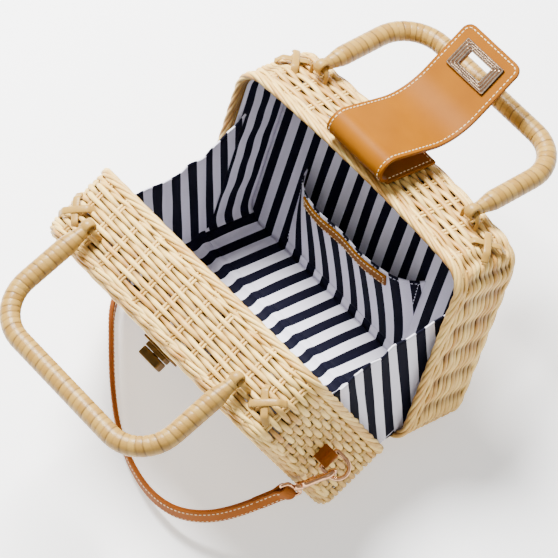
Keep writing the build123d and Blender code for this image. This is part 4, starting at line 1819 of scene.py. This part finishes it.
@dataclass
class Pocket:
    """The patch pocket on the back panel, with its leather label."""

    middle: float = -8.0
    width: float = 124.0
    height: float = 70.0
    floor: float = 15.5
    back: float = 52.2
    gape: float = 24.0
    label: tuple[float, float] = (86.0, 10.0)
    label_margin: float = 3.0
    label_thickness: float = 1.6
    label_seam: float = 1.5
    label_lift: float = 1.3
    label_thread_lift: float = 2.15
    thread_lift: float = 0.45
    stitch_pitch: float = 3.0
    stitch_length: float = 2.0
    thread: float = 0.6
    cloth: float = 0.7

    def __post_init__(self) -> None:
        """Set up the back half's directions."""
        self.half = Half(Side.BACK)

    def surface(self, across: Array, share: Array, lift: float) -> Array:
        """Bend the patch.

        The patch leans away from the panel in proportion to the height; the gape falls off
        steeply towards both sides, where it is sewn down.

        Args:
            across: places from -1 at the left side to 1 at the right.
            share: shares of the height.
            lift: distance in front of the patch.

        Returns:
            Points of the patch.
        """
        across, share = np.broadcast_arrays(across, share)
        open_share = 1.0 - np.abs(across) ** 6
        depth = self.back - self.gape * share**1.15 * open_share - lift
        wave = 0.8 * np.sin(9.0 * across + 2.0 * share) * share * open_share
        x = self.middle + across * self.width / 2.0
        return self.half.place(x, self.floor + share * self.height - 0.35 * lift, depth + wave)

    def sew(self, line: Array) -> Shape:
        """Sew along a line on the patch.

        Args:
            line: points of the seam.

        Returns:
            Stitches that look towards the mouth, square to the seam.
        """
        places, along = spaced(line, self.stitch_pitch)
        to_mouth = -self.half.out
        out = unit(to_mouth - along * (along @ to_mouth)[:, None])
        return stitches(places, along, out, self.stitch_length, self.thread)

    def build(self, maker: Maker) -> None:
        """Make the pocket's pieces.

        Args:
            maker: makes the pieces.
        """
        across = np.linspace(-1.0, 1.0, 56)
        share = np.linspace(0.0, 1.0, 30)[:, None]
        points = self.surface(across, share, 0.0)
        steps = np.linalg.norm(np.diff(points, axis=1), axis=-1)
        walk = np.concatenate([np.zeros((len(share), 1)), np.cumsum(steps, 1)], 1)
        stripe = self.middle + walk - walk[:, len(across) // 2, None] + 10.0 * share
        cloth = grid(points, -self.half.out, {"stripe": stripe})
        patch = maker.piece("pocket_patch", cloth, CLOTH, "back_half", ("pocket",))
        maker.thicken(patch, self.cloth, edge=0.0)
        level, upright = np.linspace(-0.98, 0.98, 400), np.linspace(0.03, 0.97, 200)
        seams = {"hem": [(level, 0.965)], "sides": [(-0.96, upright), (0.96, upright)]}
        for name, lines in seams.items():
            sewn = [self.sew(self.surface(side, height, self.thread_lift)) for side, height in lines]
            maker.piece(f"pocket_{name}_thread", join(sewn), WHITE_THREAD, "back_half")
        reach = self.label[0] / self.width
        high = 1.0 - self.label_margin / self.height
        low = high - self.label[1] / self.height
        across, share = np.linspace(-reach, reach, 40), np.linspace(low, high, 8)[:, None]
        label = grid(self.surface(across, share, self.label_lift), -self.half.out)
        leather = maker.piece("pocket_leather_label", label, FLAP_LEATHER, "back_half", ("pocket_label",))
        maker.thicken(leather, self.label_thickness, edge=0.4)
        inner, step = reach - 2.0 * self.label_seam / self.width, self.label_seam / self.height
        foot, head = low + step, high - step
        corners = [(-inner, foot), (inner, foot), (inner, head), (-inner, head)]
        line, _ = track(corners, radius=0.004, step=0.004, closed=True)
        path = self.surface(line[:, 0], line[:, 1], self.label_thread_lift)
        thread = self.sew(np.concatenate([path, path[:1]]))
        maker.piece("pocket_label_thread", thread, PALE_THREAD, "back_half")


@dataclass
class StrapEnd:
    """Tab, D ring, snap hook, gate, swivel and folded strap at one end of the bag."""

    end: End
    turn: float
    drop: float
    ring_height: float = 88.0
    ring_depth: float = 32.0
    tab_reach: float = 6.5
    tab_width: float = 12.0
    leather: float = 1.4
    ring_wire: float = 2.6
    ring_inner: float = 12.8
    ring_straight: float = 8.0
    ring_droop: float = 20.0
    plating: float = 0.15
    hook_seat: float = 7.0
    hook_play: float = 2.1
    hook_length: float = 26.0
    hook_width: float = 13.5
    hook_wire: float = 2.75
    hook_bend: float = 4.6
    hook_extra: float = 0.2
    hook_depth: float = 2.0
    gate_shares: tuple[float, float] = (-0.23, 0.27)
    gate_less: float = 0.12
    gate_swell: float = 1.05
    post_radius: float = 1.8
    post_sunk: float = 1.4
    post_reach: float = 4.2
    post_swell: tuple[float, float] = (0.95, 1.5)
    stud_run: float = 4.4
    stud_length: float = 2.6
    swivel_height: float = 17.0
    swivel_length: float = 9.0
    swivel_wire: float = 2.3
    swivel_hub: float = 5.4
    strap_width: float = 12.0
    strap_thickness: float = 3.6
    fold_length: float = 24.0
    seam: float = 3.9
    stitch_pitch: float = 3.2
    stitch_length: float = 2.2
    thread: float = 0.7

    def __post_init__(self) -> None:
        """Work out where the pieces lie."""
        half = Half(Side.FRONT)
        self.half = half
        self.name = self.end.name.lower()
        sign = self.end.value
        self.outward = ACROSS * sign
        level = cos(radians(self.drop))
        turn = radians(self.turn)
        self.pull = np.array([-sin(turn) * level, -cos(turn) * level, -sin(radians(self.drop))])
        middle = half.place(0.0, self.ring_height, self.ring_depth)
        self.bar = middle + self.outward * (BAG.width / 2.0 + self.tab_reach)
        tip = radians(self.ring_droop)
        self.ring_way = self.outward * cos(tip) - half.up * sin(tip)
        side = half.out * (sign * (self.ring_inner + self.ring_wire) / 2.0)
        rod = self.bar + self.ring_way * self.hook_seat + side
        self.normal = unit(self.ring_way - self.pull * np.dot(self.ring_way, self.pull))
        hang = self.hook_length / 2.0 - self.hook_wire - self.ring_wire / 2.0 - self.hook_play
        self.hook_middle = rod + self.pull * hang
        self.beside = np.cross(self.normal, self.pull)
        self.hub = self.hook_middle + self.pull * (self.hook_length / 2.0 + 0.3)
        self.swivel_start = self.hub + self.pull * self.swivel_hub
        self.strap_bar = self.swivel_start + self.pull * (self.swivel_length - self.swivel_wire / 2.0)
        self.rise = unit(RISE - self.pull * self.pull[2])
        self.strap_start = self.strap_bar + self.pull * (self.fold_length + 0.15)

    def turned_strip(
        self, origin: Array, axes: tuple[Array, Array], sizes: tuple[float, float, float], tail: float
    ) -> tuple[Shape, list[tuple[Array, Array]]]:
        """Turn a leather strip round a bar.

        The strip comes along one side, goes round the bar in an arc and lies back on itself.

        Args:
            origin: the bar's middle.
            axes: direction away from the tail, and the strip's width direction.
            sizes: width, layer thickness and the bar's clear radius.
            tail: length of the two layers.

        Returns:
            The strip, and the two outer lines along its faces with their outward directions.
        """
        width, layer, bore = sizes
        reach = bore + layer / 2.0
        normal = np.cross(axes[1], axes[0])
        angle = np.linspace(-pi / 2.0, pi / 2.0, 16)
        arc = np.stack([np.cos(angle) * reach, np.sin(angle) * reach], -1)
        run = np.linspace(0.0, 1.0, 18)[:-1]
        shut = layer / 2.0 + 0.05
        pinch = shut + (reach - shut) * smooth((run - 0.66) / 0.34)
        low = np.stack([-tail * (1.0 - run), -pinch], -1)
        high = np.stack([-tail * (1.0 - run), pinch], -1)[::-1]
        flat = np.concatenate([low, arc, high])
        along = unit(np.gradient(flat, axis=0))
        sideways = np.stack([along[:, 1], -along[:, 0]], -1)
        plane = np.array([axes[0], normal])
        middle = origin + flat @ plane
        strip = leather_band(middle, axes[1], sideways @ plane, (width, layer), sides=12, power=0.35)
        faces = []
        for line in (low, high):
            face = np.sign(line[:, 1])
            outside = np.stack([line[:, 0], line[:, 1] + face * layer / 2.0], -1)
            faces.append((origin + outside @ plane, normal * face[0]))
        return strip, faces

    def strip_thread(self, faces: list[tuple[Array, Array]], across: Array) -> Shape:
        """Sew along a turned strip's edges.

        Args:
            faces: the outer lines with their outward directions.
            across: the strip's width direction.

        Returns:
            The stitches of both faces.
        """
        sewn = []
        for line, out in faces:
            ordered = line[np.argsort(line @ self.pull)]
            for side in (-self.seam, self.seam):
                places, along = spaced(ordered + across * side, self.stitch_pitch, margin=1.0)
                sewn.append(stitches(places, along, out, self.stitch_length, self.thread))
        return join(sewn)

    def ring(self) -> Shape:
        """Bend the D ring.

        Returns:
            Round wire along a straight bar, two sides and a half circle.
        """
        reach = (self.ring_inner + self.ring_wire) / 2.0
        angle = np.linspace(0.0, pi, 24)
        arc = [(reach * cos(a), self.ring_straight + reach * sin(a)) for a in angle]
        corners = [(-reach, 0.0), (reach, 0.0)]
        path = track(corners + arc[1:-1], radius=1.3, step=0.5, closed=True)
        radii = (self.ring_wire / 2.0 + self.plating,) * 2
        return plane_tube(path, self.bar, (self.half.out, self.ring_way), radii, WIRE_SIDES, True)

    def hook(self) -> tuple[Shape, Shape]:
        """Shape the snap hook and its gate.

        Returns:
            The hook's open frame with its post, and the gate bar with its thumb stud.
        """
        length = (self.hook_length - self.hook_wire) / 2.0
        width = (self.hook_width - self.hook_wire) / 2.0
        start = self.gate_shares[0] * self.hook_length
        stop = self.gate_shares[1] * self.hook_length - self.hook_wire / 2.0
        bends = [(-length, width), (-length, -width), (length, -width), (length, width)]
        path = track([(start, width), *bends, (stop, width)], self.hook_bend, step=0.6)
        radii = (self.hook_wire / 2.0 + self.hook_extra, self.hook_depth)
        body = plane_tube(path, self.hook_middle, (self.pull, self.beside), radii, WIRE_SIDES, False)
        end = self.hook_length / 2.0
        reach = np.linspace(end - self.post_sunk, end + self.post_reach, 14)[:, None]
        swell = self.post_radius * np.where(reach > end + self.hook_extra, *self.post_swell)
        post_path = self.hook_middle + reach * self.pull
        post = tube(post_path, self.normal * swell, self.beside * swell, 18, False)
        gate_run = np.linspace(start + 0.1, stop + 0.4, 16)[:, None]
        gate_path = self.hook_middle + gate_run * self.pull + self.beside * width
        size = self.hook_wire / 2.0 - self.gate_less
        gate = tube(gate_path, self.normal * size * self.gate_swell, self.beside * size, WIRE_SIDES, False)
        stud_place = self.hook_middle + self.pull * (start + self.stud_run) + self.beside * (width + 0.6)
        stud_path = stud_place + np.linspace(0.0, self.stud_length, 6)[:, None] * self.beside
        stud_size = np.array([1.0, 1.0, 1.05, 1.35, 1.35, 0.9])[:, None]
        stud = tube(stud_path, self.pull * stud_size, self.normal * stud_size, SMALL_WIRE_SIDES, False)
        return join([body, post]), join([gate, stud])

    def swivel(self) -> Shape:
        """Shape the swivel: a hub and a long eye for the strap.

        Returns:
            The swivel.
        """
        length = (self.swivel_length - self.swivel_wire) / 2.0
        height = (self.swivel_height - self.swivel_wire) / 2.0
        middle = self.swivel_start + self.pull * (self.swivel_length / 2.0)
        corners = [(-length, -height), (length, -height), (length, height), (-length, height)]
        radii = (self.swivel_wire / 2.0 + self.plating,) * 2
        path = track(corners, radius=2.0, step=0.6, closed=True)
        eye = plane_tube(path, middle, (self.pull, self.rise), radii, SMALL_WIRE_SIDES, True)
        run = np.linspace(0.0, self.swivel_hub + 1.0, 16)[:, None]
        swell = 2.2 + 0.85 * np.sin(pi * np.clip(run / self.swivel_hub, 0.0, 1.0)) ** 0.6
        hub_path = self.hub + run * self.pull
        hub = tube(hub_path, self.rise * swell, np.cross(self.pull, self.rise) * swell, ROUND_SIDES, False)
        return join([eye, hub])

    def build(self, maker: Maker) -> list[bpy.types.Object]:
        """Make the pieces of this end.

        Args:
            maker: makes the pieces.

        Returns:
            The pieces that go with the strap.
        """
        name = self.name
        sizes = (self.tab_width, self.leather, self.ring_wire / sqrt(2.0) + 0.25)
        tab, _ = self.turned_strip(self.bar, (self.outward, self.half.out), sizes, self.tab_reach + 5.0)
        maker.piece(f"{name}_leather_tab", tab, STRAP_LEATHER, "front_half", (f"{name}_tab",))
        maker.piece(f"{name}_d_ring", self.ring(), GOLD, f"{name}_ring", (f"{name}_ring",), NO_CREASE)
        hook_shape, gate_shape = self.hook()
        hook = maker.piece(f"{name}_snap_hook", hook_shape, GOLD, f"{name}_hook", (f"{name}_hook",))
        gate = maker.piece(f"{name}_hook_gate", gate_shape, GOLD, f"{name}_gate", (f"{name}_gate",))
        swivel = maker.piece(f"{name}_hook_swivel", self.swivel(), GOLD, "front_half", (f"{name}_swivel",))
        sizes = (self.strap_width, self.strap_thickness / 2.0, self.swivel_wire / sqrt(2.0) + 0.25)
        axes = (-self.pull, self.rise)
        fold, fold_faces = self.turned_strip(self.strap_bar, axes, sizes, self.fold_length)
        stood_for = (f"{name}_strap_fold",)
        folded = maker.piece(f"{name}_folded_strap", fold, STRAP_LEATHER, "front_half", stood_for)
        sewn = self.strip_thread(fold_faces, self.rise)
        thread = maker.piece(f"{name}_fold_thread", sewn, PALE_THREAD, "front_half")
        return [hook, gate, swivel, folded, thread]


@dataclass
class Strap:
    """The leather shoulder strap, standing on edge along its route."""

    right: StrapEnd
    left: StrapEnd
    width: float = 12.0
    thickness: float = 3.6
    floor: float = 6.5
    first_run: float = 26.0
    seam: float = 3.9
    seam_lift: float = 1.68
    stitch_pitch: float = 3.4
    stitch_length: float = 2.3
    thread: float = 0.7

    def control_points(self) -> list[tuple[float, float, float]]:
        """List the strap's route.

        Returns:
            Control points in millimetres, the same as in the part's source.
        """
        start, end = self.right.strap_start, self.left.strap_start
        down = [(62.0, -140.0, 23.5), (35.0, -144.0, 14.5), (5.0, -139.0, 9.5), (-26.0, -127.0, 7.0)]
        round_left = [(-57.0, -108.0), (-86.0, -86.0), (-111.0, -66.0), (-125.0, -38.0), (-131.0, -6.0)]
        round_back = [(-132.0, 24.0), (-123.0, 53.0), (-103.0, 73.0), (-73.0, 79.0), (-42.0, 80.0)]
        loop_out = [(-12.0, 80.0), (12.0, 98.0), (21.0, 126.0), (12.0, 155.0), (-12.0, 172.0)]
        loop_back = [(-42.0, 172.0), (-74.0, 168.0), (-103.0, 156.0), (-126.0, 135.0), (-138.0, 107.0)]
        lying = [(x, y, self.floor) for x, y in round_left + round_back + loop_out + loop_back]
        rising = [(-141.0, 78.0, 13.0), (-135.0, 50.0, 27.0)]
        first = [tuple(start), tuple(start + self.right.pull * self.first_run)]
        last = [tuple(end + self.left.pull * self.first_run), tuple(end)]
        return first + down + lying + rising + last

    def route(self) -> Array:
        """Run a smooth line along the control points.

        Returns:
            Points in millimetres, read from a spline.
        """
        points = np.array(self.control_points()) * MM
        curve = bpy.data.curves.new("strap_line", "CURVE")
        curve.dimensions = "3D"
        curve.resolution_u = 14
        spline = curve.splines.new("NURBS")
        spline.points.add(len(points) - 1)
        spline.points.foreach_set("co", np.concatenate([points, np.ones((len(points), 1))], 1).ravel())
        spline.order_u = 3
        spline.use_endpoint_u = True
        holder = bpy.data.objects.new("strap_line", curve)
        mesh = bpy.data.meshes.new_from_object(holder)
        line = np.zeros(len(mesh.vertices) * 3)
        mesh.vertices.foreach_get("co", line)
        bpy.data.meshes.remove(mesh)
        bpy.data.objects.remove(holder)
        bpy.data.curves.remove(curve)
        return line.reshape(-1, 3) / MM

    def build(self, maker: Maker, with_pieces: list[bpy.types.Object]) -> None:
        """Make the strap and its seams.

        Args:
            maker: makes the pieces.
            with_pieces: the fittings that go with it; not used.
        """
        path = self.route()
        along = unit(np.gradient(path, axis=0))
        rise = unit(RISE - along * along[:, 2:])
        side = np.cross(along, rise)
        shape = leather_band(path, rise, side, (self.width, self.thickness), sides=14, power=0.4)
        band = maker.piece("shoulder_strap", shape, STRAP_LEATHER, "front_half", ("strap",))
        sewn = []
        for face in (-1.0, 1.0):
            for level in (-self.seam, self.seam):
                line = path + rise * level + side * (face * self.seam_lift)
                places, run = spaced(line, self.stitch_pitch)
                out = np.cross(run, unit(RISE - run * run[:, 2:])) * face
                sewn.append(stitches(places, run, out, self.stitch_length, self.thread))
        thread = maker.piece("strap_thread", join(sewn), PALE_THREAD, "front_half")


@dataclass
class Studio:
    """Floor, light and camera."""

    place: tuple[float, float, float] = (1.2829, -0.9634, 2.5287)
    turn: float = 53.2
    height: float = 56.7
    roll: float = -3.2
    lens: float = 283.0
    painted_shade_way: tuple[float, float, float] = (1.5, 0.3, 0.0)
    floor_reach: float = 6.0

    def floor(self) -> None:
        """Lay a plain pale floor with painted shade that greys it away from the key light; it glows with
        its own colour.
        """
        mesh = bpy.data.meshes.new("floor")
        corners = np.array([(-1, -1, 0), (1, -1, 0), (1, 1, 0), (-1, 1, 0)]) * self.floor_reach
        mesh.from_pydata(corners.tolist(), [], [(0, 1, 2, 3)])
        # The shade value is painted shade, rising away from the key light.
        shade = mesh.attributes.new("shade", "FLOAT", "POINT")
        shade.data.foreach_set("value", (0.5 + corners @ np.array(self.painted_shade_way)).astype(np.float32))
        paint = Paint("floor")
        share = paint.math("ADD", paint.attribute("shade"), 0.0, clamp=True)
        tone = paint.blend(share, linear(250, 250, 250), linear(206, 206, 206))
        paint.colour(tone)
        paint.shader.inputs["Roughness"].default_value = 0.9
        # The floor glows with its painted colour, as painted light.
        paint.links.new(tone, paint.shader.inputs["Emission Color"])
        paint.shader.inputs["Emission Strength"].default_value = 1.0
        mesh.materials.append(paint.material)
        item = bpy.data.objects.new("floor", mesh)
        bpy.context.scene.collection.objects.link(item)

    def light(
        self,
        name: str,
        place: tuple[float, float, float],
        aim: tuple[float, float, float],
        size: float,
        power: float,
    ) -> None:
        """Hang one soft light.

        Args:
            name: its name.
            place: where it hangs, in metres.
            aim: the point that it looks at.
            size: its width in metres.
            power: in watts.
        """
        data = bpy.data.lights.new(name, "AREA")
        data.shape = "DISK"
        data.size = size
        data.energy = power
        item = bpy.data.objects.new(name, data)
        item.location = place
        item.rotation_euler = (Vector(aim) - Vector(place)).to_track_quat("-Z", "Y").to_euler()
        bpy.context.scene.collection.objects.link(item)

    def camera(self) -> None:
        """Set the camera at the photograph's angle."""
        turn, height, roll = radians(self.turn), radians(self.height), radians(self.roll)
        right = Vector((cos(turn), sin(turn), 0.0))
        up = Vector((-sin(turn) * sin(height), cos(turn) * sin(height), cos(height)))
        back = Vector((sin(turn) * cos(height), -cos(turn) * cos(height), sin(height)))
        rolled_right = right * cos(roll) + up * sin(roll)
        rolled_up = up * cos(roll) - right * sin(roll)
        data = bpy.data.cameras.new("camera")
        data.sensor_width = 36.0
        data.lens = self.lens
        data.clip_start, data.clip_end = 0.1, 30.0
        item = bpy.data.objects.new("camera", data)
        place = Vector(self.place) + Vector((0.0, 0.0, BAG.hinge_height * MM))
        axes = Matrix((rolled_right, rolled_up, back)).transposed().to_4x4()
        item.matrix_world = Matrix.Translation(place) @ axes
        bpy.context.scene.collection.objects.link(item)
        bpy.context.scene.camera = item

    def build(self) -> None:
        """Set up the whole studio."""
        self.floor()
        aim = (0.0, 0.0, 0.1)
        self.light("key", (-1.0, 0.4, 2.2), aim, size=1.0, power=310.0)
        self.light("fill", (1.6, -0.9, 2.0), aim, size=2.0, power=8.0)
        world = bpy.data.worlds.new("studio")
        world.use_nodes = True
        background = world.node_tree.nodes["Background"]
        background.inputs["Color"].default_value = (1.0, 1.0, 1.0, 1.0)
        background.inputs["Strength"].default_value = 0.5
        bpy.context.scene.world = world
        self.camera()


def main() -> None:
    """Dress the bag and set the scene."""
    maker = Maker()
    Studio().build()
    right = StrapEnd(End.RIGHT, turn=37.5, drop=35.0)
    left = StrapEnd(End.LEFT, turn=180.0, drop=34.5)
    fittings = right.build(maker) + left.build(maker)
    Strap(right, left).build(maker, fittings)
    for side, end_stakes, twine in ((Side.FRONT, 10, 0.0), (Side.BACK, 5, 1.0)):
        WovenTray(side, end_stakes, twine).build(maker)
        Handle(side).build(maker)
        Lining(side).build(maker)
    FootCloth().build(maker)
    for end in End:
        Gusset(end).build(maker)
    Pocket().build(maker)
    Flap().build(maker)
    Lock().build(maker)
    for node in ("hinge_rod", "front_hinge_loops", "back_hinge_loops"):
        maker.paint_node(node, CANE)


if __name__ == "__main__":
    main()
